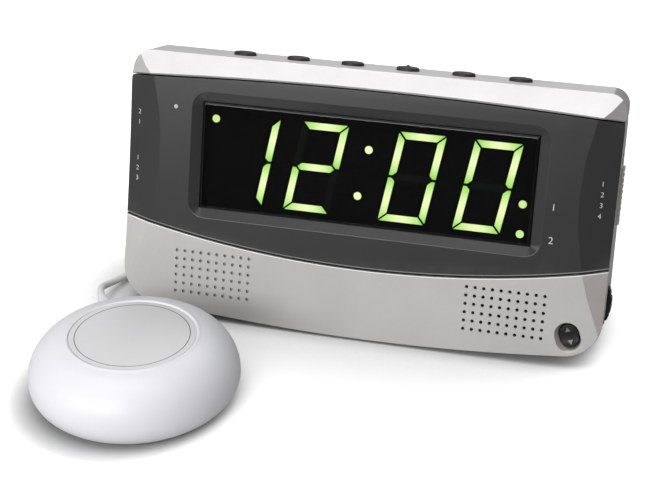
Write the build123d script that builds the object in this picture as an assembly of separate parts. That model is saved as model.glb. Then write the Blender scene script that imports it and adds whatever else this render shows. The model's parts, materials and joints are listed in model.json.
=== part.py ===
# Bed shaker alarm clock: an alarm clock and a puck-shaped bed shaker on a cord.
# Millimetres: +X to the right, +Y to the back, +Z up.
# The origin is on the table, under the middle of the clock's base.
# The front face leans back. On it, x runs across, v runs up from the table and n points out.

from build123d import *
import math
import os

# Case of the clock
face_lean = 15.25           # lean of the front face, degrees
clock_width = 207.0
base_depth = 64.0           # front face to rear wall, along the table
wall = 2.2
cap_v = 114.3               # top surface of the cap
cap_corner = 13.5
bottom_corner = 16.0
bottom_mid_v = 1.1          # lower edge of the front, in the middle
bottom_rise = 6.1           # how far that edge rises towards the sides
rear_round = 9.0
front_depth = 6.0           # depth of the front pieces
seam_gap = 0.5
cap_front = 7.5             # cap's front above the seam, in the middle
top_seam_drop = 3.0
low_seam_v = 31.8           # seam between bezel and lower panel, in the middle
low_seam_rise = 12.0
band_depth = 6.7            # set-back of the cap's sloping band
facet_width = 14.6          # scooped end facets of the front
facet_depth = 2.35
facet_v = 72.7
facet_arc = 122.0           # radius of the facet's inner edge
cap_facet_width = 8.9
cap_facet_turn = 15.0       # facets at the cap's ends: turn to the side, degrees
cap_facet_rise = 24.2       # and turn upwards, degrees

# Display
window_width = 142.1
window_height = 45.9
window_v = 72.5
dish_width = 151.0
dish_height = 54.1
dish_depth = 1.8
dish_round = 7.0
lens_seat = 3.0             # depth of the window's inner wall
lens_thick = 1.5
lens_lap = 2.2              # how far the lens reaches past the window
lens_proud = 1.0            # front of the lens above the dish's floor
lens_clear = 0.2
lens_chamfer = 1.0
frame_lap = 3.6             # how far the bezel's inner frame reaches past the window
block_gap = 0.3
block_thick = 7.0
digit_height = 38.1
digit_width = 19.7
digit_stroke = 2.9
digit_gap = 0.55
digit_slant = 9.7           # degrees
digit_v = 71.6
digit_x = (-50.9, -21.5, 19.6, 51.1)
digit_lit = ("bc", "abged", "abcdef", "abcdef")
dot_radius = 1.65
lit_dots = ((-66.1, 88.0), (0.6, 81.6), (-2.8, 61.7), (66.1, 66.1), (66.1, 53.6))
segment_thick = 1.0

# Circuit boards and screws
board_thick = 1.6
board_margin = 9.0          # display board past the window, at the sides
board_rim = 5.0             # and above and below
boss_radius = 2.6
boss_bore = 1.25
pan_radius = 2.4
pan_height = 1.5
pan_shank = 1.1
pan_length = 6.0
post_radius = 3.2
post_bore = 1.6
post_rear = 22.0            # length of the rear posts, from the rear wall
post_head_radius = 3.0
post_head_height = 1.0
post_shank = 1.4
upper_post_x = 86.0
upper_post_z = (80.0, 46.0)
lower_post_x = (-60.0, 10.0)
lower_post_z = 9.0

# Top buttons
button_count = 6
button_pitch = 23.6
button_long = 9.6
button_wide = 7.6
button_rise = 1.7
button_edge = 0.8
button_stem = 1.0           # stem under the flange
button_travel = 0.7
button_clear = 0.3
button_flange = 1.5
flange_thick = 1.2
button_n = -19.0
nub_button = 4
nub_radius = 0.9
tact_side = 6.0
tact_body = 3.5
tact_pin = 1.0
tact_pin_radius = 1.7
tact_gap = 0.3              # left under a fully pressed button
button_board_depth = 15.0

# Rocker on the lower panel
rocker_x = 90.6
rocker_v = 14.4
rocker_tilt = 20.0          # degrees
rocker_long = 9.6
rocker_wide = 7.6
rocker_clear = 0.35
scoop_long = 12.4
scoop_wide = 10.4
scoop_shift = 0.9           # the scoop opens towards the lower left
scoop_depth = 2.0
rocker_face = 1.0           # rocker's face below the panel's face
rocker_back = 6.6
rocker_axis = 5.4           # depth of its pivot
collar_depth = 4.0
collar_wall = 1.2
pivot_radius = 0.9
pivot_clear = 0.25
ear_length = 2.0
rocker_board_n = -10.4
rocker_board_x = (79.5, 93.2)
rocker_board_v = (10.6, 24.0)
rocker_post_x = 81.8
rocker_post_v = (12.8, 21.8)
small_tact_side = 3.6
small_tact_body = 2.2
small_tact_spread = 2.9

# Slide knobs on the side walls: side, place of the knob's middle, length, travel
slider_depth = 17.0
slider_width = 6.0
slider_proud = 1.4
slider_recess = 1.0
slider_clear = 0.3
slider_flange = 1.2
slider_neck = 3.0
slider_rib_pitch = 2.4
slider_rib_depth = 0.5
slider_end_room = 0.6
mode_slider_spec = (1, 72.0, 24.0, 4.8)
dimmer_slider_spec = (-1, 84.5, 12.0, 3.0)
select_slider_spec = (-1, 61.8, 14.0, 4.0)
switch_length = 12.0
switch_width = 7.0
switch_height = 4.0
switch_gap = 1.1
side_board_low = 48.0
side_board_drop = 6.8       # side boards below the cap's seam
side_boss_inset = 3.2
side_board_width = 14.0

# Thumbwheel for the volume, at the right side
wheel_radius = 16.0
wheel_proud = 2.2
wheel_v = 25.5
wheel_thick = 6.0
wheel_n = -19.0
wheel_clear = 0.6
wheel_notches = 26
wheel_notch_radius = 0.7
pot_side = 14.0
pot_depth = 8.0
pot_gap = 0.5
stub_radius = 3.0
stub_clear = 0.3
stub_length = 6.0
pot_rib = 2.0

# Speaker and hole patterns
grille_x = 63.1
grille_v = 21.0
grille_pitch = 3.6
grille_columns = 10
grille_rows = 6
grille_hole = 1.5
grille_sides = 8
blind_depth = 1.1
speaker_radius = 15.2
speaker_flange = 1.4
speaker_ring = 1.4
speaker_depth = 9.0
speaker_magnet_radius = 9.5
speaker_magnet_depth = 6.5
speaker_clear = 0.3
speaker_hold = 3.2          # height of the panel's ring round the speaker
cone_thick = 0.6

# Rear sockets and main board
main_board_back = 15.0      # main board's front, from the rear wall
main_board_x = (-80.0, 12.0)
main_board_z = (16.0, 86.0)
main_boss_inset = 5.0
chip_tall = 2.6
chip_places = ((12.0, 30.0, 14.0, 18.0), (68.0, 40.0, 14.0, 14.0), (64.0, 18.0, 12.0, 8.0))
can_tall = 6.0
can_radius = 3.2
can_places = ((14.0, 18.0), (30.0, 18.0), (78.0, 14.0))
jack_z = 24.0
shaker_jack_x = -60.0
dc_jack_x = -30.0
jack_side = 10.0
jack_nose = 4.0
jack_bore = 1.95
dc_bore = 3.1
dc_pin = 1.0
nose_clear = 0.2
ribbon_width = 24.0
ribbon_thick = 0.8
ribbon_x = -34.0

# Battery bay in the base
bay_x = 44.0
battery_length = 46.0
battery_width = 26.5
battery_height = 17.5
terminal_height = 2.5
terminal_radius = (2.9, 3.6)
terminal_spread = 12.8
bay_clear = 0.5
bay_wall = 1.5
bay_shelf = 4.0             # shelf that joins the bay to the floor
bay_back = 34.0             # bay's front, from the rear wall
snap_thick = 3.2
door_lift = 0.2             # door above the table
door_thick = 1.8
door_clear = 0.3
door_tongue = 1.2
tongue_thick = 0.8
pad_radius = 5.5
pad_thick = 1.2
pad_x = 81.0
pad_front = 26.0            # pads from the front edge and from the rear wall
pad_rear = 9.0

# Bed shaker
shaker_x = -74.7
shaker_y = -90.4
shaker_radius = 42.2
shaker_rim_z = 9.4          # height of the widest place
base_plate_radius = 30.0
base_plate_clear = 0.2
shaker_top_z = 26.9
plateau_radius = 27.2
label_radius = 25.0
label_thick = 0.5
label_clear = 0.2
label_ridge = 0.35          # ridge round the label
label_sink = 0.6
shaker_wall = 2.2
shaker_post_ring = 24.5
shaker_post_radius = 3.2
shaker_post_angles = (40.0, 140.0, 270.0)
shaker_screw_shank = 1.3
shaker_screw_head = 2.6
shaker_screw_sink = 1.2
shaker_screw_length = 12.0
motor_radius = 9.5
motor_length = 26.0
motor_x = 6.0               # middle of the motor, from the middle of the puck
motor_z = 13.2
shaft_radius = 1.15
shaft_clear = 0.3
shaft_reach = 19.0
shaft_inside = 10.0
weight_radius = 10.0
weight_thick = 11.0
weight_gap = 4.0
bracket_length = 18.0
bracket_width = 25.0
bracket_rise = 6.5

# Cord, its strain relief, coil, tie and plug
cord_diameter = 3.0
relief_angle = 124.0        # direction in which the cord leaves the puck, degrees
relief_end = 62.0           # from the middle of the puck
relief_run = 8.0            # straight cord past it
relief_root_radius = 4.4
relief_tip_radius = 2.0
relief_neck_radius = 3.5
relief_clear = 0.15
relief_collar_radius = 4.2
relief_collar_thick = 1.6
relief_collar_back = 2.4     # collar behind the wall's inner side
cord_sides = 6
coil_out_radius = 22.5
coil_pitch = 3.9
coil_layer_turns = 2.5
coil_last_turns = 2.75
coil_layers = 4
coil_y = 100.0
coil_z = 3.0
tie_width = 6.0
tie_thick = 1.0
tie_clear = 0.35
plug_radius = 4.5
plug_length = 18.0
plug_boot = 9.0
plug_boot_radius = 3.4
plug_pin_radius = 1.75
plug_pin_length = 11.5
plug_gap = 0.3

# Frame of the leaning face
lean = math.radians(face_lean)
half_width = clock_width / 2
front_y = -base_depth / 2
rear_y = base_depth / 2
inner_side = half_width - wall
top_seam_v = cap_v - cap_front
post_split = rear_y - post_rear
main_board_y = rear_y - main_board_back
bay_front_y = rear_y - bay_back
pad_y = (front_y + pad_front, rear_y - pad_rear)
face_plane = Plane(
    origin=(0, front_y, 0),
    x_dir=(1, 0, 0),
    z_dir=(0, -math.cos(lean), math.sin(lean)),
)
far = 2 * clock_width


def face_point(x, v, n):
    return face_plane.from_local_coords(Vector(x, v, n))


def face_direction(x, v, n):
    return face_point(x, v, n) - face_plane.origin


def face_box(x_range, v_range, n_range):
    size = [high - low for low, high in (x_range, v_range, n_range)]
    middle = [(high + low) / 2 for low, high in (x_range, v_range, n_range)]
    return face_plane * Pos(*middle) * Box(*size)


def plain_box(x_range, y_range, z_range):
    size = [high - low for low, high in (x_range, y_range, z_range)]
    middle = [(high + low) / 2 for low, high in (x_range, y_range, z_range)]
    return Pos(*middle) * Box(*size)


def rod_out(x, v, n_range, radius):
    low, high = n_range
    return face_plane * Pos(x, v, (low + high) / 2) * Cylinder(radius, high - low)


def rod_up(x, n, v_range, radius):
    low, high = v_range
    return face_plane * Pos(x, (low + high) / 2, n) * Rot(90, 0, 0) * Cylinder(radius, high - low)


def rod_across(v, n, x_range, radius):
    low, high = x_range
    return face_plane * Pos((low + high) / 2, v, n) * Rot(0, 90, 0) * Cylinder(radius, high - low)


def rod_back(x, z, y_range, radius):
    low, high = y_range
    return Pos(x, (low + high) / 2, z) * Rot(90, 0, 0) * Cylinder(radius, high - low)


def rod_upright(x, y, z_range, radius):
    low, high = z_range
    return Pos(x, y, (low + high) / 2) * Cylinder(radius, high - low)


def join(solids):
    solids = list(solids)
    whole = solids[0]
    for solid in solids[1:]:
        whole = whole + solid
    return whole


def mirrored(solid):
    return mirror(solid, about=Plane.YZ)


# Forms of the case
def front_outline(inset):
    half = half_width - inset
    low = bottom_mid_v + inset
    side = low + bottom_rise
    top = cap_v - inset
    bottom = ThreePointArc((-half, side), (0, low), (half, side))
    rest = Polyline((half, side), (half, top), (-half, top), (-half, side))
    sheet = make_face(bottom.edges() + rest.edges())
    sheet = fillet(sheet.vertices().group_by(Axis.Y)[-1], cap_corner - inset)
    return fillet(sheet.vertices().group_by(Axis.Y)[0], bottom_corner - inset)


def seam_line(mid_v, end_rise, reach):
    end = mid_v + end_rise * (reach / half_width) ** 2
    return ThreePointArc((-reach, end), (0, mid_v), (reach, end))


def seam_sheet(mid_v, end_rise, limit):
    reach = half_width + wall
    arc = seam_line(mid_v, end_rise, reach)
    end = (arc @ 0).Y
    rest = Polyline((reach, end), (reach, limit), (-reach, limit), (-reach, end))
    return make_face(arc.edges() + rest.edges())


def seam_block(mid_v, end_rise, limit):
    return extrude(face_plane.offset(wall) * seam_sheet(mid_v, end_rise, limit), amount=-far)


def band_cut(inset):
    rise = cap_v - top_seam_v
    turn = math.atan2(band_depth, rise)
    reach = half_width + wall
    low_v = top_seam_v - inset * math.tan(turn / 2)
    top_v = cap_v - inset
    back = band_depth + inset * math.tan(math.pi / 4 - turn / 2)
    front_sheet = seam_sheet(low_v, -top_seam_drop, far)
    edge = Line((-reach, top_v), (reach, top_v))
    rest = Polyline((reach, top_v), (reach, far), (-reach, far), (-reach, top_v))
    back_sheet = make_face(edge.edges() + rest.edges())
    sections = [face_plane.offset(-inset) * front_sheet, face_plane.offset(-back) * back_sheet]
    return loft(sections, ruled=True)


def facet_cut(inset):
    slope = math.atan2(facet_depth, facet_width)
    radius = facet_arc / math.sin(slope)
    edge_x = half_width - facet_width
    middle = face_point(edge_x + radius * math.sin(slope), facet_v, radius * math.cos(slope))
    along = face_direction(math.cos(slope), 0, -math.sin(slope))
    scoop = Plane(origin=middle, z_dir=along) * Cylinder(radius + inset, far)
    return scoop


def cap_facet_cut(inset):
    turn = math.radians(cap_facet_turn)
    rise = math.radians(cap_facet_rise)
    out = (math.sin(turn) * math.cos(rise), math.sin(rise), math.cos(turn) * math.cos(rise))
    start_x = half_width - cap_facet_width
    start_v = top_seam_v - top_seam_drop * (start_x / half_width) ** 2
    start = face_point(start_x, start_v, 0)
    size = 4 * cap_corner
    plane = Plane(origin=start, z_dir=face_direction(*out))
    return plane * Pos(0, 0, size / 2 - inset) * Box(size, size, size)


def case_body(inset):
    body = extrude(face_plane.offset(-inset) * front_outline(inset), amount=-2 * base_depth)
    room = plain_box((-far, far), (-far, rear_y - inset), (inset, far))
    body = body & room
    rear_edge = body.faces().sort_by(Axis.Y)[-1].edges().sort_by(Axis.Z)[-1]
    body = fillet(rear_edge, rear_round - inset)
    body = body - band_cut(inset)
    for cut in (facet_cut(inset), cap_facet_cut(inset)):
        body = body - cut
        body = body - mirrored(cut)
    return body


case_shell = case_body(0) - case_body(wall)


def face_y(z, n):
    v = (z - n * math.sin(lean)) / math.cos(lean)
    return front_y + v * math.sin(lean) - n * math.cos(lean)


def upper_posts():
    return [(side * upper_post_x, z) for side in (-1, 1) for z in upper_post_z]


def lower_posts():
    return [(x, lower_post_z) for x in lower_post_x]


def front_post(x, z):
    post = rod_back(x, z, (face_y(z, -wall / 2), post_split), post_radius)
    bore = rod_back(x, z, (post_split - pan_length - wall, post_split), post_bore)
    return post - bore


def front_slab():
    return face_box((-far, far), (-far, far), (-front_depth, wall))


# Display window and what lies behind it
def window_box(lap, n_range):
    half = window_width / 2 + lap
    tall = window_height / 2 + lap
    return face_box((-half, half), (window_v - tall, window_v + tall), n_range)


block_front = -(lens_seat + lens_thick + block_gap)
block_back = block_front - block_thick
display_board_back = block_back - board_thick
display_boss_x = window_width / 2 + board_margin - boss_radius - 1
display_boss_v = [window_v + side * (window_height / 2 + board_rim - boss_radius) for side in (-1, 1)]


def display_bosses():
    return [(side * display_boss_x, v) for side in (-1, 1) for v in display_boss_v]


def front_bezel():
    above = seam_block(low_seam_v + seam_gap / 2, low_seam_rise, far)
    below = seam_block(top_seam_v - seam_gap / 2, -top_seam_drop, -far)
    body = case_shell & above & below & front_slab()
    body = body + window_box(frame_lap, (-lens_seat, -wall / 2))
    wide = Pos(0, window_v) * RectangleRounded(dish_width, dish_height, dish_round)
    narrow = Pos(0, window_v) * RectangleRounded(window_width, window_height, dish_depth / 2)
    body = body - loft([face_plane * wide, face_plane.offset(-dish_depth) * narrow])
    body = body - window_box(0, (-far, 0))
    for x, v in display_bosses():
        body = body + rod_out(x, v, (block_back, -wall / 2), boss_radius)
        body = body - rod_out(x, v, (block_back, -wall - 1), boss_bore)
    for x, z in upper_posts():
        body = body + front_post(x, z)
    return body


def display_lens():
    plate = window_box(lens_lap, (-lens_seat - lens_thick, -lens_seat))
    block = window_box(-lens_clear, (-lens_seat, lens_proud - dish_depth))
    front = block.faces().sort_by(lambda side: face_plane.to_local_coords(side.center()).Z)[-1]
    return plate + chamfer(front.edges(), lens_chamfer)


def segment_points(name):
    wide = digit_width / 2
    tall = digit_height / 2
    stroke = digit_stroke
    gap = digit_gap
    top = [
        (gap - wide, tall),
        (wide - gap, tall),
        (wide - stroke - gap, tall - stroke),
        (stroke + gap - wide, tall - stroke),
    ]
    right = [
        (wide, tall - gap),
        (wide, gap),
        (wide - stroke / 2, gap),
        (wide - stroke, stroke / 2 + gap),
        (wide - stroke, tall - stroke - gap),
    ]
    end = wide - stroke / 2 - gap
    middle = [
        (-end, 0),
        (stroke / 2 - end, stroke / 2),
        (end - stroke / 2, stroke / 2),
        (end, 0),
        (end - stroke / 2, -stroke / 2),
        (stroke / 2 - end, -stroke / 2),
    ]
    forms = {
        "a": (top, 1, 1),
        "d": (top, 1, -1),
        "b": (right, 1, 1),
        "c": (right, 1, -1),
        "e": (right, -1, -1),
        "f": (right, -1, 1),
        "g": (middle, 1, 1),
    }
    points, flip_x, flip_y = forms[name]
    return [(x * flip_x, y * flip_y) for x, y in points]


def segment_solid(name, x, n_range):
    shear = math.tan(math.radians(digit_slant))
    points = [(x + px + py * shear, digit_v + py) for px, py in segment_points(name)]
    sheet = make_face(Polyline(*points, close=True))
    low, high = n_range
    return extrude(face_plane.offset(high) * sheet, amount=low - high)


def segment_group(lit):
    n_range = (block_front - segment_thick, block_front)
    solids = []
    for x, shown in zip(digit_x, digit_lit):
        names = shown if lit else [name for name in "abcdefg" if name not in shown]
        if shown == "bc" and not lit:
            names = ""
        solids += [segment_solid(name, x, n_range) for name in names]
    if lit:
        solids += [rod_out(x, v, n_range, dot_radius) for x, v in lit_dots]
    return solids


def lit_segments():
    return Compound(segment_group(True))


def unlit_segments():
    return Compound(segment_group(False))


def display_block():
    block = window_box(0, (block_back, block_front))
    for solid in segment_group(True) + segment_group(False):
        block = block - solid
    return block


def display_board():
    half = window_width / 2 + board_margin
    tall = window_height / 2 + board_rim
    n_range = (display_board_back, block_back)
    board = face_box((-half, half), (window_v - tall, window_v + tall), n_range)
    for x, v in display_bosses():
        board = board - rod_out(x, v, n_range, boss_bore)
    return board


# Lower panel, its hole patterns, rocker and speaker
def grille(x, n_range):
    low, high = n_range
    hole = RegularPolygon(grille_hole / 2, grille_sides)
    pattern = GridLocations(grille_pitch, grille_pitch, grille_columns, grille_rows)
    sheet = Sketch() + [Pos(x, grille_v) * place * hole for place in pattern]
    return extrude(face_plane.offset(high) * sheet, amount=low - high)


rocker_spin = Pos(rocker_x, rocker_v) * Rot(0, 0, 90 + rocker_tilt)
rocker_plane = Plane(
    origin=face_point(rocker_x, rocker_v, -rocker_axis),
    x_dir=face_direction(-math.sin(math.radians(rocker_tilt)), math.cos(math.radians(rocker_tilt)), 0),
    z_dir=face_plane.z_dir,
)


def rocker_prism(long, wide, n_range):
    low, high = n_range
    return extrude(face_plane.offset(high) * (rocker_spin * SlotOverall(long, wide)), amount=low - high)


def rocker_scoop():
    shift = Pos(-scoop_shift / 2, -scoop_shift / 2)
    open_sheet = shift * rocker_spin * SlotOverall(scoop_long, scoop_wide)
    low_sheet = rocker_spin * SlotOverall(rocker_long + 2 * rocker_clear, rocker_wide + 2 * rocker_clear)
    return loft([face_plane * open_sheet, face_plane.offset(-scoop_depth) * low_sheet])


def rocker_ears():
    outer = rocker_wide / 2 + rocker_clear
    ears = []
    for side in (-1, 1):
        block = Pos(0, side * (outer + ear_length / 2), 0) * Box(
            4 * pivot_radius, ear_length, 2 * (rocker_axis - collar_depth)
        )
        ears.append(rocker_plane * block)
    return ears


def rocker_pin(radius, length):
    return rocker_plane * Rot(90, 0, 0) * Cylinder(radius, length)


def rocker_button():
    body = rocker_prism(rocker_long, rocker_wide, (-rocker_back, -rocker_face))
    hollow_radius = rocker_long
    hollow = Pos(0, 0, rocker_axis - rocker_face + hollow_radius - scoop_depth / 4)
    body = body - rocker_plane * hollow * Rot(90, 0, 0) * Cylinder(hollow_radius, far)
    pin_length = rocker_wide + 2 * rocker_clear + 2 * ear_length - 2 * pivot_clear
    return body + rocker_pin(pivot_radius, pin_length)


def rocker_tacts():
    solids = []
    top = rocker_board_n + small_tact_body
    for side in (-1, 1):
        place = rocker_plane.from_local_coords(Vector(side * small_tact_spread, 0, 0))
        x, v, _ = face_plane.to_local_coords(place)
        half = small_tact_side / 2
        body = face_box((x - half, x + half), (v - half, v + half), (rocker_board_n, top))
        solids.append(body + rod_out(x, v, (top, top + tact_gap), small_tact_side / 4))
    return solids


def rocker_board():
    return face_box(rocker_board_x, rocker_board_v, (rocker_board_n - board_thick, rocker_board_n))


def lower_panel():
    below = seam_block(low_seam_v - seam_gap / 2, low_seam_rise, -far)
    body = case_shell & below & front_slab()
    ring_back = -wall - speaker_hold
    ring = rod_out(grille_x, grille_v, (ring_back, -wall / 2), speaker_radius + speaker_clear + speaker_ring)
    ring = ring - rod_out(grille_x, grille_v, (ring_back, -wall), speaker_radius + speaker_clear)
    body = body + (ring & case_body(0) & below)
    collar_long = rocker_long + 2 * (rocker_clear + collar_wall)
    collar_wide = rocker_wide + 2 * (rocker_clear + collar_wall)
    collar = rocker_prism(collar_long, collar_wide, (-collar_depth, -wall / 2))
    body = body + (collar & case_body(0))
    for ear in rocker_ears():
        body = body + ear
    for v in rocker_post_v:
        body = body + rod_out(rocker_post_x, v, (rocker_board_n, -wall / 2), boss_radius / 2)
    body = body - rocker_scoop()
    hole_long = rocker_long + 2 * rocker_clear
    hole_wide = rocker_wide + 2 * rocker_clear
    body = body - rocker_prism(hole_long, hole_wide, (-rocker_back, 0))
    body = body - rocker_pin(pivot_radius + pivot_clear, rocker_wide + 2 * rocker_clear + 2 * ear_length)
    for x, z in lower_posts():
        body = body + front_post(x, z)
    body = body - grille(grille_x, (-wall, 0))
    return body - grille(-grille_x, (-blind_depth, 0))


def speaker_plane():
    place = face_point(grille_x, grille_v, -wall)
    return Plane(origin=place, x_dir=(1, 0, 0), z_dir=face_plane.z_dir)


def turned(points, plane):
    sheet = Plane.XZ * make_face(Polyline(*points, close=True))
    return plane * revolve(sheet, Axis.Z)


cone_rim = speaker_radius - speaker_ring
cone_core = speaker_magnet_radius / 2


def speaker_frame():
    points = [
        (speaker_radius, 0),
        (speaker_radius, -speaker_flange),
        (cone_rim, -speaker_flange),
        (speaker_magnet_radius, -speaker_depth),
        (cone_core, -speaker_depth),
        (cone_core, -speaker_depth + cone_thick),
        (speaker_magnet_radius - speaker_ring, -speaker_depth + cone_thick),
        (cone_rim - speaker_ring, -speaker_flange),
        (cone_rim - speaker_ring, 0),
    ]
    return turned(points, speaker_plane())


def speaker_cone():
    rim = cone_rim - speaker_ring - 2 * speaker_clear
    core = cone_core / 2
    deep = speaker_depth - 2 * cone_thick
    points = [
        (0, -deep + cone_core / 2),
        (core, -deep),
        (rim, -speaker_flange - cone_thick),
        (rim, -speaker_flange),
        (core, -deep + cone_thick),
        (0, -deep + cone_core / 2 + cone_thick),
    ]
    return turned(points, speaker_plane())


def speaker_magnet():
    back = -speaker_depth - speaker_magnet_depth
    points = [
        (0, -speaker_depth),
        (speaker_magnet_radius, -speaker_depth),
        (speaker_magnet_radius, back),
        (0, back),
    ]
    return turned(points, speaker_plane())


# Cap, its buttons and the board under them
inner_top = cap_v - wall
stem_low = inner_top - button_clear - flange_thick - button_stem
button_board_v = stem_low - button_travel - tact_gap - tact_pin - tact_body
cap_boss_x = [button_pitch * step for step in (-3, -1, 1, 3)]


def button_x(number):
    return (number - 1 - (button_count - 1) / 2) * button_pitch


def oval_sheet(x, long, wide, v):
    base = Plane(origin=face_point(x, v, button_n), x_dir=(1, 0, 0), z_dir=face_direction(0, 1, 0))
    return base * Ellipse(long / 2, wide / 2)


def oval_up(x, long, wide, v_range):
    low, high = v_range
    return extrude(oval_sheet(x, long, wide, low), amount=high - low)


def top_cap():
    body = case_shell & seam_block(top_seam_v + seam_gap / 2, -top_seam_drop, far)
    for number in range(1, button_count + 1):
        hole = (button_long + 2 * button_clear, button_wide + 2 * button_clear)
        body = body - oval_up(button_x(number), *hole, (inner_top - wall, cap_v + wall))
    for x in cap_boss_x:
        body = body + rod_up(x, button_n, (button_board_v, cap_v - wall / 2), boss_radius)
        body = body - rod_up(x, button_n, (button_board_v, inner_top - 1), boss_bore)
    return body


def top_button(number):
    x = button_x(number)
    flange_top = inner_top - button_clear
    flange_low = flange_top - flange_thick
    top = cap_v + button_rise
    edge_v = top - button_edge
    body = oval_up(x, button_long, button_wide, (flange_low, edge_v))
    upper = oval_sheet(x, button_long - 2 * button_edge, button_wide - 2 * button_edge, top)
    body = body + loft([oval_sheet(x, button_long, button_wide, edge_v), upper], ruled=True)
    wide = (button_long + 2 * button_flange, button_wide + 2 * button_flange)
    body = body + oval_up(x, *wide, (flange_low, flange_top))
    body = body + rod_up(x, button_n, (stem_low, flange_top - flange_thick / 2), tact_pin_radius)
    if number == nub_button:
        body = body + Pos(*face_point(x, top, button_n)) * Sphere(nub_radius)
    return body


def button_board():
    half = cap_boss_x[-1] + 2 * boss_radius
    deep = button_board_depth / 2
    v_range = (button_board_v - board_thick, button_board_v)
    board = face_box((-half, half), v_range, (button_n - deep, button_n + deep))
    for x in cap_boss_x:
        board = board - rod_up(x, button_n, v_range, boss_bore)
    return board


def tact_switches():
    solids = []
    half = tact_side / 2
    top = button_board_v + tact_body
    for number in range(1, button_count + 1):
        x = button_x(number)
        n_range = (button_n - half, button_n + half)
        body = face_box((x - half, x + half), (button_board_v, top), n_range)
        solids.append(body + rod_up(x, button_n, (top, top + tact_pin), tact_pin_radius))
    return Compound(solids + rocker_tacts())


# Slide knobs, their switches and boards
side_board_v = (side_board_low, top_seam_v - side_board_drop)
side_boss_v = (side_board_v[0] + side_boss_inset, side_board_v[1] - side_boss_inset)
flange_x = inner_side - slider_clear
switch_top_x = flange_x - slider_flange - switch_gap
side_board_x = switch_top_x - switch_height


def side_box(side, x_range, v_range, n_range):
    box = face_box(x_range, v_range, n_range)
    return box if side > 0 else mirrored(box)


def slider_openings(spec):
    side, v, length, travel = spec
    outer = slider_end_room + length / 2
    recess_wide = slider_width / 2 + slider_end_room
    neck = length / 2 - slider_neck
    slot_wide = slider_neck / 2 + slider_clear
    recess = side_box(
        side,
        (half_width - slider_recess, half_width + wall),
        (v - outer, v + travel + outer),
        (-slider_depth - recess_wide, -slider_depth + recess_wide),
    )
    slot = side_box(
        side,
        (inner_side - wall, half_width),
        (v - neck - slider_clear, v + neck + travel + slider_clear),
        (-slider_depth - slot_wide, -slider_depth + slot_wide),
    )
    return recess + slot


def slider(spec):
    side, v, length, travel = spec
    half = slider_width / 2
    n_range = (-slider_depth - half, -slider_depth + half)
    knob_low = half_width - slider_recess + slider_clear
    knob_top = half_width + slider_proud
    body = side_box(side, (knob_low, knob_top), (v - length / 2, v + length / 2), n_range)
    ribs = int((length - slider_rib_pitch) / slider_rib_pitch)
    for step in range(ribs):
        groove_v = v + (step - (ribs - 1) / 2) * slider_rib_pitch
        quarter = slider_rib_pitch / 4
        groove = side_box(
            side,
            (knob_top - slider_rib_depth, knob_top),
            (groove_v - quarter, groove_v + quarter),
            n_range,
        )
        body = body - groove
    neck = length / 2 - slider_neck
    thin = slider_neck / 2
    thin_range = (-slider_depth - thin, -slider_depth + thin)
    body = body + side_box(side, (flange_x - slider_flange, knob_low), (v - neck, v + neck), thin_range)
    body = body + side_box(side, (flange_x - slider_flange, flange_x), (v - neck, v + neck), n_range)
    pin = rod_across(v, -slider_depth, (switch_top_x + slider_clear, flange_x), thin)
    return body + (pin if side > 0 else mirrored(pin))


def mode_slider():
    return slider(mode_slider_spec)


def dimmer_slider():
    return slider(dimmer_slider_spec)


def select_slider():
    return slider(select_slider_spec)


def slide_switches():
    solids = []
    wide = switch_width / 2
    for side, v, length, travel in (mode_slider_spec, dimmer_slider_spec, select_slider_spec):
        middle = v + travel / 2
        solids.append(
            side_box(
                side,
                (side_board_x, switch_top_x),
                (middle - switch_length / 2, middle + switch_length / 2),
                (-slider_depth - wide, -slider_depth + wide),
            )
        )
    return Compound(solids)


def side_boards():
    wide = side_board_width / 2
    n_range = (-slider_depth - wide, -slider_depth + wide)
    boards = []
    for side in (-1, 1):
        board = side_box(side, (side_board_x - board_thick, side_board_x), side_board_v, n_range)
        boards.append(board)
    return Compound(boards)


# Thumbwheel and its potentiometer
wheel_x = half_width + wheel_proud - wheel_radius
pot_front = wheel_n - wheel_thick / 2 - pot_gap
pot_back = pot_front - pot_depth


def volume_wheel():
    rim = Circle(wheel_radius)
    notches = PolarLocations(wheel_radius, wheel_notches)
    rim = rim - [place * Circle(wheel_notch_radius) for place in notches]
    low = wheel_n - wheel_thick / 2
    body = extrude(face_plane.offset(low) * (Pos(wheel_x, wheel_v) * rim), amount=wheel_thick)
    return body + rod_out(wheel_x, wheel_v, (pot_front - stub_length, low), stub_radius)


def volume_pot():
    half = pot_side / 2
    body = face_box(
        (wheel_x - half, min(wheel_x + half, inner_side - slider_clear)),
        (wheel_v - half, wheel_v + half),
        (pot_back, pot_front),
    )
    bore_back = pot_front - stub_length - stub_clear
    return body - rod_out(wheel_x, wheel_v, (bore_back, pot_front), stub_radius + stub_clear)


# Rear housing with its posts, sockets and battery bay
bay_half_x = battery_length / 2 + terminal_height + snap_thick / 2 + bay_clear
bay_back_y = bay_front_y + battery_width + 2 * bay_clear
door_top = door_lift + door_thick
bay_top = door_top + door_clear + battery_height + bay_clear
door_half = bay_half_x + bay_wall


def main_bosses():
    xs = (main_board_x[0] + main_boss_inset, main_board_x[1] - main_boss_inset)
    zs = (main_board_z[0] + main_boss_inset, main_board_z[1] - main_boss_inset)
    return [(x, z) for x in xs for z in zs]


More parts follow.
